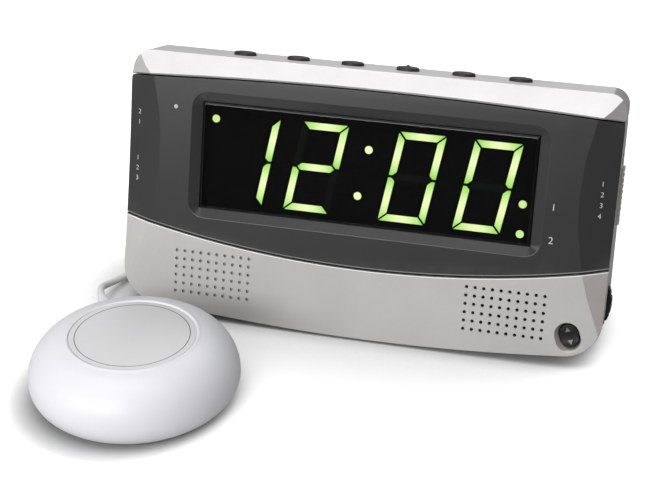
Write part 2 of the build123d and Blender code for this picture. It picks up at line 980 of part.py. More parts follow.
def battery_bay():
    outer = plain_box(
        (bay_x - bay_half_x - bay_wall, bay_x + bay_half_x + bay_wall),
        (bay_front_y - bay_wall, bay_back_y + bay_wall),
        (wall / 2, bay_top + bay_wall),
    )
    reach = door_half + door_clear + bay_shelf
    shelf = plain_box(
        (bay_x - reach, bay_x + reach),
        (bay_front_y - bay_wall - door_clear - bay_shelf, rear_y - wall / 2),
        (wall / 2, door_top + door_clear + bay_wall),
    )
    inner = plain_box(
        (bay_x - bay_half_x, bay_x + bay_half_x),
        (bay_front_y, bay_back_y),
        (0, bay_top),
    )
    return outer + shelf - inner


def door_opening():
    low_y = bay_front_y - bay_wall - door_clear
    opening = plain_box(
        (bay_x - door_half - door_clear, bay_x + door_half + door_clear),
        (low_y, rear_y + wall),
        (-wall, door_top + door_clear),
    )
    reach = door_half + door_tongue + 2 * door_clear
    middle = (door_lift + door_top) / 2
    half = tongue_thick / 2 + door_clear
    groove = plain_box(
        (bay_x - reach, bay_x + reach),
        (low_y, rear_y + wall),
        (middle - half, middle + half),
    )
    return opening + groove


def rear_housing():
    below = seam_block(top_seam_v - seam_gap / 2, -top_seam_drop, -far)
    slab = face_box((-far, far), (-far, far), (-far, -front_depth))
    body = case_shell & below & slab
    inside = case_body(wall / 2)
    for x, z in upper_posts() + lower_posts():
        body = body + rod_back(x, z, (post_split, rear_y - wall / 2), post_radius)
        body = body - rod_back(x, z, (post_split, rear_y), post_bore)
        body = body - rod_back(x, z, (rear_y - post_head_height, rear_y), post_head_radius + nose_clear)
    for x, z in main_bosses():
        body = body + rod_back(x, z, (main_board_y + board_thick, rear_y - wall / 2), boss_radius)
        body = body - rod_back(x, z, (main_board_y + board_thick, rear_y - wall), boss_bore)
    for side in (-1, 1):
        for v in side_boss_v:
            boss = rod_across(v, -slider_depth, (side_board_x, half_width - wall / 2), boss_radius)
            body = body + (boss if side > 0 else mirrored(boss))
    rib_half = pot_side / 2
    rib = face_box(
        (wheel_x - rib_half, half_width),
        (wheel_v - rib_half, wheel_v + rib_half),
        (pot_back - pot_rib, pot_back),
    )
    body = body + (rib & inside)
    body = body + battery_bay()
    body = body - door_opening()
    for spec in (mode_slider_spec, dimmer_slider_spec, select_slider_spec):
        body = body - slider_openings(spec)
    reach = wheel_radius + wheel_clear
    deep = wheel_thick / 2 + wheel_clear
    wheel_slot = rod_out(wheel_x, wheel_v, (wheel_n - deep, wheel_n + deep), reach)
    body = body - wheel_slot
    for x in (shaker_jack_x, dc_jack_x):
        body = body - rod_back(x, jack_z, (rear_y - 2 * wall, rear_y), jack_nose + nose_clear)
    for x in (-pad_x, pad_x):
        for y in pad_y:
            body = body - rod_upright(x, y, (0, pad_thick), pad_radius + nose_clear)
    return body


def battery_door():
    low_y = bay_front_y - bay_wall
    plate = plain_box((bay_x - door_half, bay_x + door_half), (low_y, rear_y), (door_lift, door_top))
    middle = (door_lift + door_top) / 2
    half = tongue_thick / 2
    reach = door_half + door_tongue
    tongue = plain_box((bay_x - reach, bay_x + reach), (low_y, rear_y - wall), (middle - half, middle + half))
    return plate + tongue


battery_low = door_top + door_clear
battery_y = bay_front_y + bay_clear + battery_width / 2
battery_z = battery_low + battery_height / 2
battery_end = bay_x + bay_half_x - bay_clear


def terminals(clear, length):
    solids = []
    start = battery_end - battery_length
    for side, radius in zip((-1, 1), terminal_radius):
        y = battery_y + side * terminal_spread / 2
        rod = Pos(start - length / 2, y, battery_z) * Rot(0, 90, 0) * Cylinder(radius + clear, length)
        solids.append(rod)
    return solids


def backup_battery():
    body = plain_box(
        (battery_end - battery_length, battery_end),
        (battery_y - battery_width / 2, battery_y + battery_width / 2),
        (battery_low, battery_low + battery_height),
    )
    return join([body] + terminals(0, terminal_height))


def battery_snap():
    low_x = bay_x - bay_half_x
    body = plain_box(
        (low_x, low_x + snap_thick),
        (bay_front_y + bay_clear, bay_back_y - bay_clear),
        (battery_low + bay_clear, bay_top),
    )
    for rod in terminals(bay_clear, terminal_height + snap_thick):
        body = body - rod
    return body


def rubber_feet():
    return Compound([rod_upright(x, y, (0, pad_thick), pad_radius) for x in (-pad_x, pad_x) for y in pad_y])


def case_screws():
    solids = []
    for x, z in upper_posts() + lower_posts():
        head = rod_back(x, z, (rear_y - post_head_height, rear_y), post_head_radius)
        shank = rod_back(x, z, (post_split - pan_length, rear_y - post_head_height), post_shank)
        slot = post_head_height / 2
        cross = plain_box((x - post_head_radius / 2, x + post_head_radius / 2), (rear_y - slot, rear_y),
                          (z - slot / 2, z + slot / 2))
        solids.append(head + shank - cross)
    return Compound(solids)


# Main board, its parts and sockets
def main_board():
    y_range = (main_board_y, main_board_y + board_thick)
    board = plain_box(main_board_x, y_range, main_board_z)
    for x, z in main_bosses():
        board = board - rod_back(x, z, y_range, boss_bore)
    return board


def board_parts():
    solids = []
    corner_x = main_board_x[0]
    corner_z = main_board_z[0]
    for across, up, wide, tall in chip_places:
        x_range = (corner_x + across, corner_x + across + wide)
        z_range = (corner_z + up, corner_z + up + tall)
        solids.append(plain_box(x_range, (main_board_y - chip_tall, main_board_y), z_range))
    for across, up in can_places:
        place = (corner_x + across, corner_z + up)
        solids.append(rod_back(*place, (main_board_y - can_tall, main_board_y), can_radius))
    return Compound(solids)


def socket(x, bore, pin):
    half = jack_side / 2
    board_back = main_board_y + board_thick
    body = plain_box((x - half, x + half), (board_back, rear_y - wall), (jack_z - half, jack_z + half))
    body = body + rod_back(x, jack_z, (rear_y - wall, rear_y), jack_nose)
    body = body - rod_back(x, jack_z, (board_back + wall / 2, rear_y), bore)
    if pin > 0:
        body = body + rod_back(x, jack_z, (board_back, rear_y - wall), pin)
    return body


def dc_jack():
    return socket(dc_jack_x, dc_bore, dc_pin)


def shaker_jack():
    return socket(shaker_jack_x, jack_bore, 0)


def display_ribbon():
    start = face_point(0, window_v, display_board_back)
    out = face_direction(0, 0, -1)
    knee = start + out * (main_board_y - start.Y) * 0.45
    end_z = start.Z - ribbon_width / 3
    bend = (main_board_y - start.Y) * 0.35
    points = [
        (start.Y, start.Z),
        (knee.Y, knee.Z),
        (main_board_y - bend, end_z),
        (main_board_y, end_z),
    ]
    path = Polyline(*points)
    strip = trace(path, ribbon_thick)
    low = Plane(origin=(ribbon_x - ribbon_width / 2, 0, 0), x_dir=(0, 1, 0), z_dir=(1, 0, 0))
    return extrude(low * strip, amount=ribbon_width)


def pan_screw(place):
    head = Pos(0, 0, pan_height / 2) * Cylinder(pan_radius, pan_height)
    shank = Pos(0, 0, -pan_length / 2) * Cylinder(pan_shank, pan_length)
    return place * (head + shank)


def board_screws():
    solids = []
    out = face_direction(0, 0, -1)
    for x, v in display_bosses():
        solids.append(pan_screw(Plane(origin=face_point(x, v, display_board_back), z_dir=out)))
    for x, z in main_bosses():
        solids.append(pan_screw(Plane(origin=(x, main_board_y, z), z_dir=(0, -1, 0))))
    down = face_direction(0, -1, 0)
    for x in cap_boss_x:
        place = face_point(x, button_board_v - board_thick, button_n)
        solids.append(pan_screw(Plane(origin=place, z_dir=down)))
    return Compound(solids)


# Bed shaker
puck = Pos(shaker_x, shaker_y, 0)
shaker_flat_radius = shaker_radius - shaker_rim_z
label_floor = shaker_top_z - label_sink


def spun(edges):
    return puck * revolve(Plane.XZ * make_face(edges), Axis.Z)


def relief_place(distance):
    turn = math.radians(relief_angle)
    x = shaker_x + distance * math.cos(turn)
    y = shaker_y + distance * math.sin(turn)
    return Vector(x, y, shaker_rim_z)


relief_plane = Plane(
    origin=(shaker_x, shaker_y, shaker_rim_z),
    z_dir=(math.cos(math.radians(relief_angle)), math.sin(math.radians(relief_angle)), 0),
)


def relief_hole():
    inner = shaker_radius - 2 * shaker_wall
    length = 2 * shaker_wall + relief_neck_radius
    return relief_plane * Pos(0, 0, inner + length / 2) * Cylinder(relief_neck_radius + relief_clear, length)


def shaker_posts():
    places = []
    for angle in shaker_post_angles:
        turn = math.radians(angle)
        x = shaker_x + shaker_post_ring * math.cos(turn)
        y = shaker_y + shaker_post_ring * math.sin(turn)
        places.append((x, y))
    return places


def inset_middle(arc):
    middle = arc.arc_center
    return middle + (arc @ 0.5 - middle) * (1 - shaker_wall / arc.radius)


def shaker_shell():
    low = (shaker_flat_radius, 0)
    rim = (shaker_radius, shaker_rim_z)
    shoulder = (plateau_radius, shaker_top_z)
    under = TangentArc(low, rim, tangent=(1, 0))
    dome = TangentArc(rim, shoulder, tangent=(0, 1))
    recess = label_radius + label_clear
    ridge_z = shaker_top_z + label_ridge
    ceiling = label_floor - shaker_wall
    mouth = base_plate_radius + base_plate_clear
    rest = Polyline(
        shoulder,
        (plateau_radius - label_ridge, ridge_z),
        (recess + label_ridge, ridge_z),
        (recess, label_floor),
        (0, label_floor),
        (0, ceiling),
        (plateau_radius - shaker_wall / 2, ceiling),
        inset_middle(dome),
        (shaker_radius - shaker_wall, shaker_rim_z),
        inset_middle(under),
        (shaker_flat_radius, shaker_wall),
        (mouth, shaker_wall),
        (mouth, 0),
        low,
    )
    body = spun(under.edges() + dome.edges() + rest.edges())
    for x, y in shaker_posts():
        body = body + rod_upright(x, y, (shaker_wall, label_floor - shaker_wall / 2), shaker_post_radius)
        body = body - rod_upright(x, y, (shaker_wall, shaker_wall + shaker_screw_length + 1), post_bore)
    return body - relief_hole()


def shaker_base_plate():
    body = rod_upright(shaker_x, shaker_y, (0, shaker_wall), base_plate_radius)
    for x, y in shaker_posts():
        body = body - rod_upright(x, y, (0, shaker_wall), post_bore)
        body = body - rod_upright(x, y, (0, shaker_screw_sink), shaker_screw_head + nose_clear)
    return body


def shaker_label():
    return rod_upright(shaker_x, shaker_y, (label_floor, label_floor + label_thick), label_radius)


def shaker_screws():
    solids = []
    for x, y in shaker_posts():
        head = rod_upright(x, y, (shaker_screw_sink - post_head_height, shaker_screw_sink), shaker_screw_head)
        shank = rod_upright(x, y, (shaker_screw_sink, shaker_wall + shaker_screw_length), shaker_screw_shank)
        solids.append(head + shank)
    return Compound(solids)


def motor_rod(x_range, radius):
    low, high = x_range
    place = Pos(shaker_x + (low + high) / 2, shaker_y, motor_z)
    return place * Rot(0, 90, 0) * Cylinder(radius, high - low)


motor_low = motor_x - motor_length / 2
motor_high = motor_x + motor_length / 2


def motor_can():
    body = motor_rod((motor_low, motor_high), motor_radius)
    return body - motor_rod((motor_low, motor_low + shaft_inside + shaft_clear), shaft_radius + shaft_clear)


def motor_bracket():
    half = bracket_width / 2
    body = plain_box(
        (shaker_x + motor_x - bracket_length / 2, shaker_x + motor_x + bracket_length / 2),
        (shaker_y - half, shaker_y + half),
        (shaker_wall, shaker_wall + bracket_rise),
    )
    return body - motor_rod((motor_low, motor_high), motor_radius)


def motor_shaft():
    return motor_rod((motor_low - shaft_reach, motor_low + shaft_inside), shaft_radius)


def eccentric_weight():
    start = motor_low - weight_gap
    body = motor_rod((start - weight_thick, start), weight_radius)
    cut = plain_box(
        (shaker_x + start - weight_thick, shaker_x + start),
        (shaker_y - weight_radius, shaker_y + weight_radius),
        (motor_z + 2 * shaft_radius, motor_z + weight_radius),
    )
    return body - cut - motor_rod((start - weight_thick, start), shaft_radius)


def strain_relief():
    wall_in = shaker_radius - shaker_wall - relief_clear
    wall_out = shaker_radius + relief_clear
    collar = wall_in - relief_collar_back
    points = [
        (0, collar - relief_collar_thick),
        (relief_collar_radius, collar - relief_collar_thick),
        (relief_collar_radius, collar),
        (relief_neck_radius, collar),
        (relief_neck_radius, wall_out),
        (relief_root_radius, wall_out),
        (relief_tip_radius, relief_end),
        (0, relief_end),
    ]
    return turned(points, relief_plane)


# Cord
def arc_radii(points):
    radii = []
    for before, here, after in zip(points, points[1:], points[2:]):
        one = Vector(*here) - Vector(*before)
        two = Vector(*after) - Vector(*here)
        turn = math.radians(one.get_angle(two))
        radii.append(0.45 * min(one.length, two.length) / math.tan(turn / 2))
    return radii


def cord_tube(points, name):
    radii = arc_radii(points)
    path = FilletPolyline(*points, radius=radii)
    section = Plane(origin=path @ 0, z_dir=path % 0) * Circle(cord_diameter / 2)
    tube = sweep(section, path=path)
    expected = math.pi * cord_diameter**2 / 4 * path.length
    print(name, "length", round(path.length, 1), "arc radii", [round(radius, 1) for radius in radii],
          "volume share", round(tube.volume / expected, 4))
    return tube


coil_layers_turns = [coil_layer_turns] * (coil_layers - 1) + [coil_last_turns]
coil_in_radius = coil_out_radius - coil_pitch * coil_layer_turns
coil_end_radius = coil_in_radius + coil_pitch * coil_last_turns
coil_x = shaker_jack_x + coil_end_radius
coil_top_z = coil_z + coil_pitch * (coil_layers - 1)


def coil_stations():
    stations = []
    angle = -math.pi / 2
    radius = coil_out_radius
    height = coil_z
    for layer, turns in enumerate(coil_layers_turns):
        inward = -1 if layer % 2 == 0 else 1
        steps = round(turns * 4)
        for step in range(steps + 1):
            stations.append((angle, radius, height, inward * coil_pitch / (2 * math.pi)))
            if step < steps:
                angle += math.pi / 2
                radius += inward * coil_pitch / 4
        if layer < coil_layers - 1:
            stations.append((angle + math.pi / 2, radius, height + coil_pitch / 2, 0))
            angle += math.pi
            height += coil_pitch
    return stations


def coil_point(station):
    angle, radius, height, _ = station
    return Vector(coil_x + radius * math.cos(angle), coil_y + radius * math.sin(angle), height)


def coil_tangents(stations):
    tangents = []
    for angle, radius, height, rate in stations:
        level = (height - coil_z) / coil_pitch
        climb = 0 if abs(level - round(level)) < 0.01 else coil_pitch / math.pi * 1.5
        tangent = Vector(
            rate * math.cos(angle) - radius * math.sin(angle),
            rate * math.sin(angle) + radius * math.cos(angle),
            climb,
        )
        tangents.append(tangent.normalized())
    return tangents


def biarc(start, start_way, end, end_way):
    gap = end - start
    both = start_way + end_way
    spread = 2 * (1 - start_way.dot(end_way))
    along = gap.dot(both)
    if spread < 1e-9:
        reach = gap.dot(gap) / (2 * along)
    else:
        reach = (math.sqrt(along**2 + spread * gap.dot(gap)) - along) / spread
    first = start + start_way * reach
    last = end - end_way * reach
    middle = (first + last) * 0.5
    middle_way = (last - first).normalized()
    return [
        Edge.make_tangent_arc(start, start_way, middle),
        Edge.make_tangent_arc(middle, middle_way, end),
    ]


def coil_path():
    stations = coil_stations()
    points = [coil_point(station) for station in stations]
    ways = coil_tangents(stations)
    ways[0] = Vector(1, 0, 0)
    ways[-1] = Vector(0, -1, 0)
    edges = [Edge.make_line(points[0] - ways[0] * cord_diameter, points[0])]
    for index in range(len(points) - 1):
        edges += biarc(points[index], ways[index], points[index + 1], ways[index + 1])
    edges.append(Edge.make_line(points[-1], points[-1] + ways[-1] * cord_diameter))
    return Wire(edges)


def least_gap(path):
    count = int(path.length / cord_diameter * 2)
    step = path.length / count
    points = [path.position_at(index / count) for index in range(count + 1)]
    skip = int(3 * cord_diameter / step)
    gaps = []
    for index, point in enumerate(points):
        gaps += [(other - point).length for other in points[index + skip:]]
    return min(gaps) - cord_diameter


def cord_coil():
    path = coil_path()
    section = Plane(origin=path @ 0, z_dir=path % 0) * RegularPolygon(cord_diameter / 2, cord_sides)
    coil = sweep(section, path=path)
    expected = section.area * path.length
    print("cord_coil length", round(path.length, 1), "least gap to itself", round(least_gap(path), 2),
          "volume share", round(coil.volume / expected, 4))
    return coil


coil_start_y = coil_y - coil_out_radius
lead_points = [
    tuple(relief_place(relief_end)),
    tuple(relief_place(relief_end + relief_run)),
    (-113.8, -19.5, 4.8),
    (-110.5, -7.0, 2.2),
    (-107.8, 6.0, 1.6),
    (-108.4, 24.0, 1.6),
    (-103.0, 44.0, 1.6),
    (-88.0, 66.0, 1.9),
    (-66.0, coil_start_y, coil_z),
    (coil_x - cord_diameter, coil_start_y, coil_z),
]
plug_end_y = rear_y + plug_gap + plug_length + plug_boot
tail_points = [
    (shaker_jack_x, coil_y - cord_diameter, coil_top_z),
    (shaker_jack_x, 86.0, coil_top_z),
    (shaker_jack_x, 70.0, jack_z),
    (shaker_jack_x, plug_end_y, jack_z),
]


def cord_lead():
    return cord_tube(lead_points, "cord_lead")


def cord_tail():
    return cord_tube(tail_points, "cord_tail")


def cord_tie():
    half = cord_diameter / 2 + tie_clear
    inner = coil_in_radius - half
    outer = coil_end_radius + half
    low = coil_z - half
    high = coil_top_z + half
    middle = coil_x + (inner + outer) / 2
    size = Rectangle(outer - inner + 2 * tie_thick, high - low + 2 * tie_thick)
    size = size - Rectangle(outer - inner, high - low)
    place = Plane(origin=(middle, coil_y - tie_width / 2, (low + high) / 2), x_dir=(1, 0, 0), z_dir=(0, 1, 0))
    return extrude(place * size, amount=tie_width)


def shaker_plug():
    start = rear_y + plug_gap
    boot = start + plug_length
    points = [
        (0, -plug_pin_length),
        (plug_pin_radius, -plug_pin_length),
        (plug_pin_radius, 0),
        (plug_radius, 0),
        (plug_radius, plug_length),
        (plug_boot_radius, plug_length),
        (cord_diameter / 2 + 0.4, plug_length + plug_boot),
        (0, plug_length + plug_boot),
    ]
    plane = Plane(origin=(shaker_jack_x, start, jack_z), z_dir=(0, 1, 0))
    return turned(points, plane)


makers = [
    front_bezel, lower_panel, top_cap, rear_housing, battery_door, rubber_feet, case_screws,
    display_lens, display_block, lit_segments, unlit_segments, display_board, display_ribbon,
    button_board, tact_switches, rocker_button, rocker_board,
    mode_slider, dimmer_slider, select_slider, slide_switches, side_boards,
    volume_wheel, volume_pot, speaker_frame, speaker_cone, speaker_magnet,
    main_board, board_parts, board_screws, dc_jack, shaker_jack, backup_battery, battery_snap,
    shaker_shell, shaker_base_plate, shaker_label, shaker_screws,
    motor_can, motor_bracket, motor_shaft, eccentric_weight, strain_relief,
    cord_lead, cord_coil, cord_tail, cord_tie, shaker_plug,
]

os.makedirs("parts", exist_ok=True)
for maker in makers:
    export_step(maker(), f"parts/{maker.__name__}.step")
for number in range(1, button_count + 1):
    export_step(top_button(number), f"parts/button_{number}.step")
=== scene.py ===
import json
import math

import bmesh
import bpy
from mathutils import Matrix, Vector
from mathutils.bvhtree import BVHTree


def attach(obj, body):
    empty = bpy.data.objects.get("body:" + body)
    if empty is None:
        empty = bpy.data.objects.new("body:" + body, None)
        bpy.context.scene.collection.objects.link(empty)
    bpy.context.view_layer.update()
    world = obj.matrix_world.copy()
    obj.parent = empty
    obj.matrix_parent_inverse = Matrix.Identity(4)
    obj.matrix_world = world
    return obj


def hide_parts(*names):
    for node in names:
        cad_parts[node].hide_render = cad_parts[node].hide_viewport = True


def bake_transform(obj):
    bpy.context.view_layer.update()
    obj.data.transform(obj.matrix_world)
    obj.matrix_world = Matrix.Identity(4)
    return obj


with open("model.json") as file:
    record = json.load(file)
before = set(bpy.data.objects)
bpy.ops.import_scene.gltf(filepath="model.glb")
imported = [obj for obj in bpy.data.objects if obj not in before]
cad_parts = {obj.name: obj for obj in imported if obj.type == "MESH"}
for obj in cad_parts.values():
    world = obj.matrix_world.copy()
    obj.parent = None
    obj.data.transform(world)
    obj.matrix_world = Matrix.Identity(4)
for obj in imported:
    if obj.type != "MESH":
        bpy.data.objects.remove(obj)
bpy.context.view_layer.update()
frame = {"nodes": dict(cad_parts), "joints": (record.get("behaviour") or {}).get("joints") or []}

nodes = frame["nodes"]
joints = {joint["name"]: joint for joint in frame["joints"]}
scene = bpy.context.scene
scene.view_settings.view_transform = "Standard"
mm = 0.001
print("frame loaded:", len(nodes), "nodes")

# The leaning front: x across, v up the face, n out of it
face = {
    "origin": Vector((0, -32.0, 0)) * mm,
    "up": -Vector(joints["button_1_press"]["axis"]),
    "out": Vector(joints["volume_turn"]["axis"]),
}
puckMiddle = Vector((-74.7, -90.4, 0)) * mm


def facePoint(x, v, n=0.0):
    return face["origin"] + Vector((x, 0, 0)) * mm + face["up"] * (v * mm) + face["out"] * (n * mm)


def faceCoords(point):
    away = point - face["origin"]
    return away.x / mm, away.dot(face["up"]) / mm, away.dot(face["out"]) / mm


# Place and turn of a piece whose own x, y and z run along these axes
def axesMatrix(origin, across, up, out):
    return Matrix.Translation(origin) @ Matrix((across, up, out)).transposed().to_4x4()


# Screen colour, 0 to 255, as linear light
def tint(red, green, blue):
    channels = []
    for value in (red, green, blue):
        value /= 255
        channels.append(value / 12.92 if value <= 0.04045 else ((value + 0.055) / 1.055) ** 2.4)
    return (*channels, 1.0)


# Camera, at the photograph's viewpoint
view = {
    "place": Vector((122.9, -554.8, 339.1)) * mm,
    "forward": Vector((-0.2193, 0.8508, -0.4776)),
    "lens": 82.9,
    "sensor": 36.0,
    "nearest": 0.01,
}


def addAimed(name, data, place, forward):
    aimed = bpy.data.objects.new(name, data)
    aimed.location = place
    aimed.rotation_euler = forward.to_track_quat("-Z", "Y").to_euler()
    scene.collection.objects.link(aimed)
    return aimed


def addCamera():
    data = bpy.data.cameras.new("viewCamera")
    data.lens = view["lens"]
    data.sensor_width = view["sensor"]
    data.clip_start = view["nearest"]
    scene.camera = addAimed("viewCamera", data, view["place"], view["forward"])


addCamera()
print("camera placed")

# Node helpers: new nodes fill a grid, sockets are linked, and other values are set
nodeGrid = {"columns": 8, "wide": 220, "high": 300}


def addNode(tree, kind, **settings):
    row, column = divmod(len(tree.nodes), nodeGrid["columns"])
    node = tree.nodes.new(kind)
    node.location = (column * nodeGrid["wide"], -row * nodeGrid["high"])
    for key, value in settings.items():
        setattr(node, key, value)
    return node


def feed(tree, value, socket):
    if isinstance(value, bpy.types.NodeSocket):
        tree.links.new(value, socket)
    else:
        socket.default_value = value


def feedNamed(tree, node, values):
    for name, value in values.items():
        feed(tree, value, node.inputs[name])


def mathNode(tree, operation, *values):
    node = addNode(tree, "ShaderNodeMath", operation=operation)
    for value, socket in zip(values, node.inputs):
        feed(tree, value, socket)
    return node.outputs["Value"]


def product(tree, first, *others):
    for other in others:
        first = mathNode(tree, "MULTIPLY", first, other)
    return first


def vectorNode(tree, operation, first, second):
    node = addNode(tree, "ShaderNodeVectorMath", operation=operation)
    feed(tree, first, node.inputs[0])
    feed(tree, second, node.inputs[1])
    return node.outputs["Value" if operation in ("DISTANCE", "DOT_PRODUCT") else "Vector"]


def mixColors(tree, factor, first, second):
    node = addNode(tree, "ShaderNodeMix", data_type="RGBA")
    for value, index in ((factor, 0), (first, 6), (second, 7)):  # sockets of a colour mix
        feed(tree, value, node.inputs[index])
    return node.outputs[2]


def spread(tree, value, to=(0.0, 1.0), within=(0.0, 1.0)):
    node = addNode(tree, "ShaderNodeMapRange")
    feedNamed(tree, node, {
        "Value": value,
        "From Min": within[0],
        "From Max": within[1],
        "To Min": to[0],
        "To Max": to[1],
    })
    return node.outputs["Result"]


def between(tree, value, low, high):
    past = mathNode(tree, "GREATER_THAN", value, low)
    return product(tree, past, mathNode(tree, "LESS_THAN", value, high))


def objectCoords(tree):
    return addNode(tree, "ShaderNodeTexCoord").outputs["Object"]


def normalPart(tree, axis):
    parts = addNode(tree, "ShaderNodeSeparateXYZ")
    feed(tree, addNode(tree, "ShaderNodeNewGeometry").outputs["Normal"], parts.inputs[0])
    return parts.outputs[axis]


def noise(tree, vector, size, detail=4.0, rough=0.6):
    node = addNode(tree, "ShaderNodeTexNoise")
    feedNamed(tree, node, {"Vector": vector, "Scale": size, "Detail": detail, "Roughness": rough})
    return node.outputs["Fac"]


def cells(tree, vector, size, feature="F1"):
    node = addNode(tree, "ShaderNodeTexVoronoi", feature=feature)
    feedNamed(tree, node, {"Vector": vector, "Scale": size})
    return node.outputs


# Group of named inputs, with their first values, and named outputs
def newGroup(name, inputs, outputs):
    group = bpy.data.node_groups.new(name, "ShaderNodeTree")
    for socketName, value in inputs.items():
        kind = "NodeSocketColor" if isinstance(value, tuple) else "NodeSocketFloat"
        group.interface.new_socket(socketName, in_out="INPUT", socket_type=kind).default_value = value
    for socketName in outputs:
        kind = "NodeSocketColor" if socketName == "Color" else "NodeSocketFloat"
        group.interface.new_socket(socketName, in_out="OUTPUT", socket_type=kind)
    start = addNode(group, "NodeGroupInput").outputs
    return group, start, addNode(group, "NodeGroupOutput")


# Grain of moulded plastic: broad tone drift, fine pits, changing gloss
grainInputs = {
    "Light": (0.8, 0.8, 0.8, 1),
    "Dark": (0.7, 0.7, 0.7, 1),
    "Size": 2500.0,
    "Gloss Low": 0.35,
    "Gloss High": 0.5,
}


def mouldGrainGroup():
    group, start, end = newGroup("mouldGrain", grainInputs, ["Color", "Roughness", "Height"])
    coords = objectCoords(group)
    fine = noise(group, coords, start["Size"], detail=3.0)
    broad = noise(group, coords, size=38.0, detail=3.0, rough=0.55)
    pits = cells(group, coords, start["Size"], "SMOOTH_F1")["Distance"]
    drift = spread(group, broad, within=(0.3, 0.7))
    speck = spread(group, fine, to=(0.0, 0.5), within=(0.35, 0.75))
    tone = mathNode(group, "MULTIPLY_ADD", drift, 0.5, speck)
    feedNamed(group, end, {
        "Color": mixColors(group, tone, start["Light"], start["Dark"]),
        "Roughness": spread(group, drift, to=(start["Gloss Low"], start["Gloss High"])),
        "Height": mathNode(group, "MULTIPLY_ADD", pits, 0.6, fine),
    })
    return group


# Flakes of silver paint, each with its own glint, gloss and height
flakeInputs = {"Paint": (0.5, 0.5, 0.5, 1), "Flake": (0.8, 0.8, 0.8, 1), "Size": 5200.0, "Amount": 0.35}


def silverFlakeGroup():
    group, start, end = newGroup("silverFlake", flakeInputs, ["Color", "Metallic", "Roughness", "Height"])
    coords = objectCoords(group)
    split = addNode(group, "ShaderNodeSeparateColor")
    feed(group, cells(group, coords, start["Size"])["Color"], split.inputs["Color"])
    glint, gloss, height = split.outputs
    broad = noise(group, coords, size=30.0, detail=3.0, rough=0.55)
    drift = spread(group, broad, to=(0.94, 1.04), within=(0.3, 0.7))
    flake = spread(group, glint, within=(0.35, 1.0))
    color = mixColors(group, product(group, flake, start["Amount"]), start["Paint"], start["Flake"])
    feedNamed(group, end, {
        "Color": vectorNode(group, "MULTIPLY", color, drift),
        "Metallic": spread(group, flake, to=(0.18, 0.5)),
        "Roughness": spread(group, gloss, to=(0.36, 0.5)),
        "Height": mathNode(group, "ADD", height, broad),
    })
    return group


# Worn edges with painted highlight: paler where the surface turns sharply outwards
wearSheenInputs = {"Color": (0.5, 0.5, 0.5, 1), "Worn Sheen": (0.8, 0.8, 0.8, 1), "Amount": 0.5}


def edgeWearSheenGroup():
    group, start, end = newGroup("edgeWearSheen", wearSheenInputs, ["Color"])
    bend = addNode(group, "ShaderNodeNewGeometry").outputs["Pointiness"]
    edge = spread(group, bend, within=(0.53, 0.62))
    patches = noise(group, objectCoords(group), size=160.0)
    patch = spread(group, patches, to=(0.2, 1.0), within=(0.35, 0.65))
    mask = product(group, edge, patch, start["Amount"])
    feedNamed(group, end, {"Color": mixColors(group, mask, start["Color"], start["Worn Sheen"])})
    return group


# Dust on what faces up
dustInputs = {"Color": (0.5, 0.5, 0.5, 1), "Dust": (0.75, 0.73, 0.7, 1), "Amount": 0.08}


def fineDustGroup():
    group, start, end = newGroup("fineDust", dustInputs, ["Color"])
    clouds = noise(group, objectCoords(group), size=420.0, detail=5.0, rough=0.65)
    cloud = spread(group, clouds, within=(0.42, 0.72))
    upward = spread(group, normalPart(group, "Z"), within=(0.2, 0.95))
    mask = product(group, upward, cloud, start["Amount"])
    feedNamed(group, end, {"Color": mixColors(group, mask, start["Color"], start["Dust"])})
    return group


groups = {
    "grain": mouldGrainGroup(),
    "flake": silverFlakeGroup(),
    "wearSheen": edgeWearSheenGroup(),
    "dust": fineDustGroup(),
}


def placeGroup(tree, key, values):
    node = addNode(tree, "ShaderNodeGroup", node_tree=groups[key])
    feedNamed(tree, node, values)
    return node.outputs


def wornSheen(tree, color, pale, amount):
    return placeGroup(tree, "wearSheen", {"Color": color, "Worn Sheen": pale, "Amount": amount})["Color"]


def dusted(tree, color, amount):
    return placeGroup(tree, "dust", {"Color": color, "Amount": amount})["Color"]


def newFinish(name):
    finish = bpy.data.materials.new(name)
    finish.use_nodes = True
    return finish, finish.node_tree, finish.node_tree.nodes["Principled BSDF"]


def addBump(tree, shader, height, strength, depth):
    bump = addNode(tree, "ShaderNodeBump")
    feedNamed(tree, bump, {"Strength": strength, "Distance": depth * mm, "Height": height})
    feedNamed(tree, shader, {"Normal": bump.outputs["Normal"]})


# Grain drawn out along one way
def brushed(tree, vector, stretch, size):
    mapping = addNode(tree, "ShaderNodeMapping")
    feedNamed(tree, mapping, {"Vector": vector, "Scale": stretch})
    return noise(tree, mapping.outputs["Vector"], size)


# Place on the clock's face: how far out, up and across
def faceReaches(tree):
    away = vectorNode(tree, "SUBTRACT", objectCoords(tree), face["origin"])
    axes = (face["out"], face["up"], Vector((1, 0, 0)))
    return [vectorNode(tree, "DOT_PRODUCT", away, axis) for axis in axes]


# Distance on the face from one spot of it
def faceDistance(tree, reaches, x, v):
    out, up, across = reaches
    spot = addNode(tree, "ShaderNodeCombineXYZ")
    feedNamed(tree, spot, {"X": across, "Y": up})
    return vectorNode(tree, "DISTANCE", spot.outputs["Vector"], Vector((x, v, 0)) * mm)


# Seams of the front: height in the middle, and rise at the ends
seams = {"top": (106.8, -3.0), "low": (31.8, 12.0)}
seamHalf = 103.5


# Painted shade and highlight as thin lines along a seam: (seam, from, to, tone),
# counted from it towards the centre of its arc
def seamShadeAndHighlight(tree, lines, reaches, color):
    for key, low, high, tone in lines:
        middle, rise = seams[key]
        radius = (seamHalf * seamHalf + rise * rise) / (2 * abs(rise))
        away = faceDistance(tree, reaches, 0, middle + math.copysign(radius, rise))
        mask = between(tree, away, (radius - high) * mm, (radius - low) * mm)
        color = mixColors(tree, mask, color, tone)
    return color


